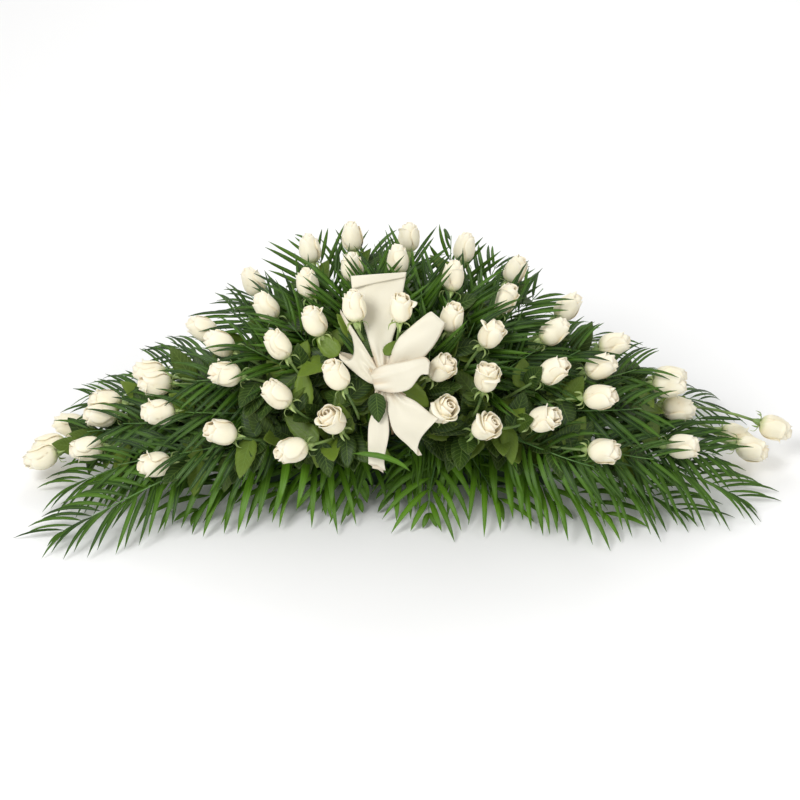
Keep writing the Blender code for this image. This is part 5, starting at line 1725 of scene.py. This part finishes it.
@dataclass
class Calyx:
    """The green cup under a rose and its five curled sepals."""

    cup_radius: float = 0.006
    reach: float = 0.021
    drop: float = 0.008
    half_width: float = 0.0034
    rings: tuple = ((0.0, 0.45), (0.25, 0.62), (0.5, 0.9), (0.72, 1.0), (0.9, 0.95), (1.0, 0.6))

    def add(self, stem: Stem, patches: Patchwork) -> None:
        """Adds the cup and the sepals at the end of a stem."""
        rose = stem.rose
        side = square_to(rose.axis, carried_sides(rose.axis, stem.solid)[-1][0])
        other = side.cross(rose.axis)
        seat = rose.foot - GAP * rose.axis
        base = np.array(seat - Stem.CALYX_DEPTH * rose.axis)
        ring = np.array([turned(corner * tau / 12, side, other) for corner in range(12)])
        axis = np.array(rose.axis)
        height = Stem.CALYX_DEPTH + 0.0035
        cup = [base + share * height * axis + self.cup_radius * wide * ring for share, wide in self.rings]
        cup.append(np.broadcast_to(base + height * axis, ring.shape))
        patches.add(np.array(cup), 0.3, round_it=True)
        for index in range(5):
            patches.add(self.sepal(seat, turned(index * tau / 5, side, other), rose, index), 0.6)

    def sepal(self, seat: Vector, out: Vector, rose: Rose, index: int) -> np.ndarray:
        """One sepal, narrow and pointed, curled back at its tip.

        Args:
            seat: The top of the calyx.
            out: The way that it points.
            rose: The rose.
            index: Its number.

        Returns:
            Its points by row and column.
        """
        rows = []
        across = out.cross(rose.axis)
        curl = 0.6 + 0.8 * (sin(3.7 * rose.number + 2.1 * index) * 0.5 + 0.5)
        for row in range(9):
            t = row / 8
            reach = self.reach * (0.18 + 0.72 * sin(0.5 * pi * min(t * 1.15, 1.0)))
            sink = self.drop * (1.1 * t * t) + 0.0035 * curl * max(t - 0.6, 0.0) / 0.4
            middle = seat + 0.001 * rose.axis + reach * out - sink * rose.axis
            half = self.half_width * (0.55 + 0.75 * t) * (1.0 - t) ** 0.75 + 0.0002
            rows.append([middle + off * half * (across + 0.25 * off * rose.axis) for off in (-1, 0, 1)])
        return np.array(rows)


@dataclass
class RoseLeaves:
    """Toothed rose leaves, folded along their ribs."""

    rows: int = 13
    columns: int = 5
    tooth_depth: float = 0.07
    thickness: float = 0.0006

    def add(self, spot: RoseLeafSpot, tone: float, patches: Patchwork) -> None:
        """Adds one leaf.

        Args:
            spot: Where it grows.
            tone: Its shade from 0 to 1.
            patches: The grids of its piece.
        """
        t = np.linspace(0, 1, self.rows)[:, None]
        u = np.linspace(-1, 1, self.columns)[None, :]
        half = 1.3 * t ** 0.55 * (1.0 - t) ** 0.92
        saw = (np.arange(self.rows) % 2)[:, None]
        half = half * (1.0 - self.tooth_depth * saw * (np.abs(u) > 0.9)) + 0.02
        across = u * half
        up = np.abs(across) * (0.3 - 0.26 * t) - 0.16 * t ** 2.2 - 0.03 * np.sin(pi * t)
        up = up + 0.018 * np.sin(16.0 * t + 3.0 * tone) * np.abs(u) ** 2
        places = np.stack(np.broadcast_arrays(t * spot.length, across * spot.width, up * spot.width), axis=-1)
        patches.add(np.array(spot.root) + places @ np.array([spot.line, spot.side, spot.face]), tone)


@dataclass
class Greenery:
    """Stems, calyces, rose leaves and palm fronds of one sector."""

    sector: Sector
    room: Room
    stem_steps: int = 16
    stem_sides: int = 8
    leaflet_rows: int = 7
    leaflet_fold: float = 0.3
    leaflet_thickness: float = 0.0005
    calyx_thickness: float = 0.0004
    bundle_stems: int = 31
    stem_taper: float = 0.12
    rib_radius: float = 0.0021
    rib_taper: float = 0.0014
    leaf_behind: float = 0.004
    leaflet_behind: float = 0.01
    leaflet_beside: float = 0.007
    leaf: RoseLeaves = field(default_factory=RoseLeaves)
    leaf_count: int = 0
    stems: Lines = field(default_factory=Lines)
    ribs: Lines = field(default_factory=Lines)
    cups: Patchwork = field(default_factory=Patchwork)
    leaves: Patchwork = field(default_factory=Patchwork)

    def build(self, roses: Sequence[Rose]) -> None:
        """Builds the sector's pieces in the order in which the solid grew."""
        name = self.sector.name
        chance = Random(len(name))
        grown = [Stem(rose, self.sector) for rose in roses if self.carries(rose)]
        for stem in grown:
            smooth = stem.path(stem.sway, self.stem_steps)
            shares = [1.0 - self.stem_taper * index / self.stem_steps for index in range(len(smooth))]
            self.stems.add(smooth, [Stem.RADIUS * share for share in shares])
            Calyx().add(stem, self.cups)
        for stem in grown:
            self.add_leaves(spot for spot in stem.solid_leaves(chance)
                            if self.room.behind_ribbon(spot.outline(), self.leaf_behind))
        spots = list(self.fronds(chance))
        for stem in grown:
            self.add_leaves(stem.more_leaves(self.room))
        spots += self.fill()
        if self.sector.front:
            spots += self.beside_bow()
        self.bundle()
        tubes = TubeRecipe(self.stem_sides)
        settle(tubes.grow("stems_" + name, self.stems.mesh(), Finishes.STEM), "green", self.sector.node)
        settle(tubes.grow("palm_ribs_" + name, self.ribs.mesh(), Finishes.RIB), "green")
        self.grow_leaflets(spots)
        for label, patches, thickness, finishes in (
            ("calyces_", self.cups, self.calyx_thickness, [Finishes.CALYX]),
            ("rose_leaves_", self.leaves, self.leaf.thickness, [Finishes.LEAF_TOP, Finishes.LEAF_UNDER]),
        ):
            if patches.count:
                piece = patches.piece(label + name, *finishes)
                thicken(piece, thickness, offset=-1.0, under=len(finishes) - 1)
                settle(piece, "green")
        LOG.info("%s: %d rose leaves, %d leaflets", name, self.leaf_count, len(spots))

    def carries(self, rose: Rose) -> bool:
        """Whether the rose's stem grows in this sector."""
        end = rose.foot - Stem.CALYX_DEPTH * rose.axis
        return self.sector.front and self.sector.on_its_side(end)

    def add_leaves(self, spots: Iterator[RoseLeafSpot]) -> None:
        """Adds rose leaves, each with a tone of its own."""
        for spot in spots:
            self.leaf.add(spot, (GOLDEN_TURN * self.leaf_count) % 1.0, self.leaves)
            self.leaf_count += 1

    def fronds(self, chance: Random) -> Iterator[LeafletSpot]:
        """Adds the ribs of the solid's fronds.

        Args:
            chance: Random draws, in the solid's order.

        Yields:
            Each leaflet that the solid holds.
        """
        for index, row in enumerate(FRONT_FRONDS if self.sector.front else BACK_FRONDS):
            frond = Frond(row, self.sector, self.sector.front and index in BROAD_FRONDS)
            if not self.sector.on_its_side(frond.path[-1]):
                continue
            frond.bend_as_solid()
            self.add_rib(list(takewhile(lambda point: over_crest(point) < -0.01, frond.path)))
            for spot in frond.leaflets(lambda c, d, tip: self.sector.corners.has(tip), chance):
                way = [spot.root.lerp(spot.middle, 0.6), spot.middle]
                way += [spot.middle.lerp(spot.tip, share) for share in (0.25, 0.5, 0.75, 1.0)]
                if self.room.behind_ribbon(way, self.leaflet_behind, self.leaflet_beside):
                    yield spot

    def fill(self) -> Iterator[LeafletSpot]:
        """Adds the ribs of the finer fronds, and gives their leaflets."""
        def clear(c: Vector, d: Vector, tip: Vector) -> bool:
            """Whether this leaflet is clear of the heads."""
            way = [((c + d) / 2).lerp(tip, share) for share in (0.0, 0.2, 0.4, 0.6, 0.8, 1.0)]
            return self.room.clear([c, d, *way])

        chance = Random(31)
        for row in FILL_FRONDS if self.sector.front else BACK_FILL_FRONDS:
            frond = Frond(row, self.sector)
            if self.sector.on_its_side(frond.path[-1]) and frond.bend_clear(self.room):
                self.add_rib(frond.path)
                yield from frond.leaflets(clear, chance)

    def beside_bow(self) -> Iterator[LeafletSpot]:
        """Adds the rose leaves round the bow, and gives the leaflet over its left tail."""
        for across, rise, nearness, turn, length, width, tone in BOW_LEAVES:
            root = seen_at(across, rise, nearness)
            if self.sector.on_its_side(root):
                line = (turned(radians(turn), ACROSS, UPWARD) - 0.1 * TOWARD).normalized()
                spot = RoseLeafSpot(root, line, square_to(line, TOWARD), length, width)
                self.leaf.add(spot, tone, self.leaves)
        root, middle, tip = (seen_at(*place) for place in BOW_LEAFLET)
        if self.sector.on_its_side(root):
            yield LeafletSpot(root, middle, tip, square_to((tip - root).normalized(), TOWARD), 0.0068, 0.9)

    def add_rib(self, path: Points) -> None:
        """Adds one tapering rib."""
        last = len(path) - 1
        self.ribs.add(path, [self.rib_radius - self.rib_taper * index / last for index in range(len(path))])

    def bundle(self) -> None:
        """Adds the stem ends that stand in the foam, packed in a spiral."""
        root = self.sector.root
        low = HOLDER.foam_top - HOLDER.bundle_depth
        for index in range(self.bundle_stems):
            turn = GOLDEN_TURN * index
            reach = (HOLDER.bundle_radius - 0.003) * sqrt((index + 0.5) / self.bundle_stems)
            foot = Vector((root.x, root.y, low)) + reach * Vector((cos(turn), sin(turn), 0.0))
            top = foot + (root.z + 0.006 - low - 0.3 * reach) * UP
            self.stems.add([foot, foot.lerp(top, 0.5), top], [0.0024, 0.0024, 0.0022])

    def grow_leaflets(self, spots: Sequence[LeafletSpot]) -> None:
        """Grows a leaflet on each spot."""
        labels = ("half", "tone", "root", "tip", "face")
        values = {label: [getattr(spot, label) for spot in spots] for label in labels}
        guide = guide_mesh(values["root"], values | {"bend": [spot.bend() for spot in spots]})
        recipe = LeafletRecipe(self.leaflet_rows, self.leaflet_fold)
        finishes = Finishes.LEAFLET_TOP, Finishes.LEAFLET_UNDER
        piece = recipe.grow("palm_leaflets_" + self.sector.name, guide, *finishes)
        thicken(piece, self.leaflet_thickness, offset=-1.0, under=1)
        settle(piece, "green")


@dataclass(frozen=True)
class BandShape:
    """What makes one band of the bow its own: how it ends, and whether it comes back."""

    notch: float = 0.0
    hollow: float = 0.0
    slant: float = 0.0
    back: tuple[float, float] | None = None
    ridge: tuple[float, float] = (0.0, 0.0)
    crown: float = 0.05
    crumple: float = 0.0006
    tuck: float = 0.0


@dataclass
class RibbonBow:
    """The satin bow: bands of a wide ribbon, folded to their width and drawn together at the knot."""

    width: float = 0.097
    rows_a_step: int = 7
    columns: int = 49
    pleats: float = 5.0
    pleat_depth: float = 0.0026
    gather: float = 0.055
    fold_radius: float = 0.0016
    thickness: float = 0.0004
    return_drop: float = 0.013
    knot_radius: float = 0.0135
    knot_half: float = 0.012
    knot_wave: float = 0.0037
    knot_pleats: float = 7.0
    shapes: dict[str, BandShape] = field(default_factory=lambda: {
        "upright_tail": BandShape(slant=0.04, crown=0.03, crumple=0.0009),
        "upper_right_loop": BandShape(back=(0.002, -0.003), crown=0.1),
        "lower_right_loop": BandShape(back=(0.0, 0.004), ridge=(-0.33, 0.0085), crown=0.0),
        "left_loop": BandShape(hollow=0.36, back=(0.008, -0.002), crown=-0.05, tuck=0.24),
        "right_tail": BandShape(hollow=0.15, ridge=(-0.5, -0.004), crown=0.04, crumple=0.001),
        "left_tail": BandShape(notch=0.1, ridge=(0.45, -0.003), crown=0.04),
    })

    def stations(self, name: str) -> np.ndarray:
        """Left and right edge by station, with the way back of a loop."""
        rows = [[seen_at(*edge) for edge in edges] for edges in edges_of(name)]
        back = self.shapes[name].back
        if back:
            shift = back[0] * ACROSS + back[1] * UPWARD - self.return_drop * TOWARD
            returned = [[edge.lerp((left + right) / 2, 0.1) + shift for edge in (left, right)]
                        for left, right in rows[::-1]]
            rows += [*returned[:-1], [edge - 0.35 * shift for edge in returned[-1]]]
        return np.array(rows)

    def smooth(self, stations: np.ndarray) -> np.ndarray:
        """The stations, with more between them along smooth curves."""
        before, after = 2 * stations[:1] - stations[1:2], 2 * stations[-1:] - stations[-2:-1]
        padded = np.concatenate([before, stations, after])
        rows = []
        for p0, p1, p2, p3 in zip(*(padded[skip:] for skip in range(4))):
            for t in np.arange(self.rows_a_step) / self.rows_a_step:
                rows.append(0.5 * (2 * p1 + (p2 - p0) * t + (2 * p0 - 5 * p1 + 4 * p2 - p3) * t ** 2
                                   + (3 * p1 - p0 - 3 * p2 + p3) * t ** 3))
        return np.array([*rows, stations[-1]])

    def section(self, wide: float, near: float) -> tuple[np.ndarray, np.ndarray, np.ndarray]:
        """The folded ribbon cut across: a flat face with both sides folded behind it.

        Args:
            wide: How wide the band looks.
            near: 1 at the knot, 0 where the pleats end.

        Returns:
            The places across, the places behind the face, and how far round the folds they lie.
        """
        flange = min(max(0.5 * (self.width - wide), 0.0), (0.85 + 0.8 * near) * wide)
        bend = min(self.fold_radius, 0.2 * wide)
        side = np.linspace(-1, 1, self.columns)
        run = np.abs(side) * (0.5 * wide + flange)
        straight = np.minimum(run, 0.5 * wide - bend)
        turned = np.clip((run - straight) / bend, 0.0, pi)
        rest = run - straight - bend * turned
        across = np.sign(side) * (straight + bend * np.sin(turned) - rest)
        slope = np.where(side > 0.0, 0.12, 0.26)
        return across, -bend * (1.0 - np.cos(turned)) - slope * rest, turned / pi

    def band(self, name: str, phase: float) -> tuple[np.ndarray, np.ndarray]:
        """The surface of one band, and its painted shade at each point.

        Args:
            name: The band.
            phase: Where its pleats start.

        Returns:
            Its points by row along and column across, and the painted shade likewise.
        """
        shape = self.shapes[name]
        edges = self.smooth(self.stations(name))
        middle = edges.mean(axis=1)
        run = np.concatenate([[0.0], np.cumsum(np.linalg.norm(np.diff(middle, axis=0), axis=1))])
        x = np.linspace(-1, 1, self.columns)
        rows, painted_shades = [], []
        for (left, right), centre, gone in zip(edges, middle, run):
            wide = float(np.linalg.norm(right - left))
            across = (right - left) / wide
            bulge = np.array(TOWARD) - np.array(TOWARD).dot(across) * across
            from_knot = min(gone, run[-1] - gone) if shape.back else gone
            near = max(1.0 - from_knot / self.gather, 0.0)
            place, depth, folded = self.section(wide, near)
            off = place / (0.5 * wide)
            ripple = np.sin(pi * self.pleats * (x + 1.0) + phase) * self.pleat_depth * near
            creased = exp(-((from_knot - 0.03) / 0.016) ** 2) * np.sin(9.0 * off + 2.0 * phase)
            ridge = 1.0 - np.abs(off - shape.ridge[0]) / (1.0 + abs(shape.ridge[0]))
            crumpled = np.sin(3.1 * off + 52.0 * gone + phase) + np.sin(-4.3 * off + 83.0 * gone + 2 * phase)
            lift = (shape.crown * wide * (1.0 - off ** 2) + shape.ridge[1] * ridge) * (1.0 - near)
            lift = lift + depth + ripple + shape.crumple * (crumpled + 1.6 * creased)
            rows.append(centre + np.outer(place, across) + np.outer(lift, bulge / np.linalg.norm(bulge)))
            # painted shade: the back layer of a loop, the sides folded behind and the crease valleys
            returned = 0.55 if shape.back and gone > 0.5 * run[-1] else 0.0
            fold_and_back_shade = 0.45 * folded + returned + 0.25 * np.clip(-creased, 0, 1)
            # painted shade near the knot, strongest in the pleat valleys
            painted_shades.append(np.clip(near * (0.6 - 0.5 * np.sign(ripple)) + fold_and_back_shade, 0, 1))
        return self.trim(np.array(rows), x, shape), np.array(painted_shades)

    def trim(self, surface: np.ndarray, x: np.ndarray, shape: BandShape) -> np.ndarray:
        """Draws a tail's end or a loop's turn back into a V, a hollow or a slant.

        Args:
            surface: The band's points by row and column.
            x: The columns' places from -1 to 1.
            shape: The band's shape.

        Returns:
            The surface, with its rows moved along it.
        """
        last = len(surface) - 1
        spot = np.linspace(-1, 1, last + 1)
        trimmed = np.empty_like(surface)
        for column, side in enumerate(x):
            hollow = shape.hollow * (1.0 - side ** 2)
            if shape.back:
                pull = np.where(spot < 0.0, hollow, 1.2 * hollow + shape.tuck)
                reach = (1.0 - pull) * (1.0 - np.abs(spot))
                wanted = np.where(spot < 0, reach, 2.0 - reach) * last / 2
            else:
                kept = 1.0 - shape.notch * (1.0 - abs(side)) - hollow - shape.slant * (1.0 + side) / 2
                wanted = np.linspace(0.0, last * kept, last + 1)
            for axis in range(3):
                trimmed[:, column, axis] = np.interp(wanted, np.arange(last + 1), surface[:, column, axis])
        return trimmed

    def build(self) -> None:
        """Makes each band and the wound knot."""
        for index, name in enumerate(RIBBON_BANDS):
            self.piece("ribbon_" + name, *self.band(name, 0.7 * index), *["ribbon_bow"][index:])
        self.piece("ribbon_knot", *self.knot())

    def piece(self, name: str, points: np.ndarray, painted_shade: np.ndarray, *nodes: str) -> None:
        """Args:
            name: The piece's name.
            points: Its surface.
            painted_shade: Its painted shade at each point.
            *nodes: The CAD nodes that it stands for.
        """
        patches = Patchwork()
        patches.add(points, painted_shade)
        piece = patches.piece(name, Finishes.SATIN)
        thicken(piece, self.thickness)
        settle(piece, "ribbon", *nodes)
        length = float(np.linalg.norm(np.diff(points[:, self.columns // 2], axis=0), axis=1).sum())
        a, b, c, d = points[:-1, :-1], points[1:, :-1], points[:-1, 1:], points[1:, 1:]
        halves = np.cross(b - a, c - a), np.cross(b - d, c - d)
        area = 0.5 * sum(float(np.linalg.norm(half, axis=2).sum()) for half in halves)
        LOG.info("%s: %.3f m long, cloth %.2f of the flat cut", name, length, area / (self.width * length))

    def knot(self) -> tuple[np.ndarray, np.ndarray]:
        """A pleated band wound round the middle of the bow, and its painted shade in the pleat valleys."""
        turns = np.linspace(radians(-170), radians(175), 40)[:, None]
        x = np.linspace(-1, 1, self.columns)[None, :]
        wave = self.knot_wave * np.sin(pi * self.knot_pleats * (x + 1.0) + 0.6 * np.sin(2.0 * turns))
        radius = self.knot_radius - 0.003 * x ** 2 + wave + 0.0005 * turns
        places = np.broadcast_arrays(self.knot_half * x, radius * np.sin(turns), 0.8 * radius * np.cos(turns))
        points = np.stack(places, axis=-1) @ np.array([ACROSS, UPWARD, TOWARD]) + seen_at(*KNOT_PLACE)
        # painted shade in the pleat valleys of the knot
        return points, np.clip(-wave / 0.0036, 0, 1)


@dataclass
class Base:
    """The tray, the foam and the stake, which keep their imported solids."""

    finishes: dict[str, Finishes] = field(default_factory=lambda: {
        "holder_tray": Finishes.TRAY,
        "foam_brick_left": Finishes.FOAM,
        "foam_brick_right": Finishes.FOAM,
        "bow_stake": Finishes.WOOD,
    })

    def build(self) -> None:
        """Dresses each solid."""
        for node, finish in self.finishes.items():
            dress(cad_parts[node].data, finish)
            LOG.info("%s dressed", node)


@dataclass
class Studio:
    """Pale floor, soft lights and the camera at the photograph's angle."""

    lens: float = 160.0
    sensor: float = 36.0
    pixel: float = 0.001738
    image: int = 800
    origin_pixel: tuple[float, float] = (402.0, 461.0)
    world_light: float = 0.54
    floor_half: float = 6.0
    floor_height: float = -0.0002
    lights: tuple = (
        ("key", (-1.6, -1.9, 2.9), 1.5, 79.0),
        ("fill", (2.3, -1.5, 1.7), 2.0, 20.0),
        ("back", (0.3, 2.2, 2.2), 1.6, 26.0),
    )

    def build(self) -> None:
        """Sets up the floor, the lights and the camera."""
        self.floor()
        for row in self.lights:
            self.light(*row)
        world = bpy.data.worlds.new("studio air")
        world.use_nodes = True
        background = world.node_tree.nodes["Background"]
        background.inputs["Color"].default_value = (1.0, 1.0, 1.0, 1.0)
        background.inputs["Strength"].default_value = self.world_light
        bpy.context.scene.world = world
        bpy.context.scene.view_settings.view_transform = "Standard"
        self.camera()

    def floor(self) -> None:
        """A wide pale floor."""
        x = np.linspace(-self.floor_half, self.floor_half, 7)
        patches = Patchwork()
        patches.add(np.stack(np.meshgrid(x, x) + [np.full((7, 7), self.floor_height)], axis=-1))
        patches.piece("studio_floor", Finishes.FLOOR)

    def light(self, name: str, place: tuple[float, float, float], size: float, power: float) -> None:
        """Adds a soft square light that looks at the spray.

        Args:
            name: The light's name.
            place: Where it stands.
            size: Its width.
            power: Its watts.
        """
        lamp = bpy.data.lights.new(name, "AREA")
        lamp.size = size
        lamp.energy = power
        made = stand(name, lamp)
        made.location = place
        made.rotation_euler = (Vector((0.0, 0.0, 0.15)) - Vector(place)).to_track_quat("-Z", "Y").to_euler()

    def camera(self) -> None:
        """The camera, far away with a long lens."""
        across = (self.image / 2 - self.origin_pixel[0]) * self.pixel
        rise = (self.origin_pixel[1] - self.image / 2) * self.pixel
        lens = bpy.data.cameras.new("camera")
        lens.lens = self.lens
        lens.sensor_width = self.sensor
        lens.clip_end = 60.0
        made = stand("camera", lens)
        made.location = seen_at(across, rise, self.pixel * self.image * self.lens / self.sensor)
        made.rotation_euler = (pi / 2 - LOOK_DOWN, 0.0, 0.0)
        bpy.context.scene.camera = made


def main() -> None:
    """Builds the spray and the studio."""
    logging.basicConfig(level=logging.INFO, format="%(message)s")
    Studio().build()
    roses = [Rose(number, *row) for number, row in enumerate(ROSES, 1)]
    Easing().ease(roses)
    RoseBlooms().build(roses)
    room = Room(roses)
    for name in ("front_left", "front_right", "back_left", "back_right"):
        Greenery(Sector(name), room).build(roses)
    RibbonBow().build()
    Base().build()


if __name__ == "__main__":
    main()
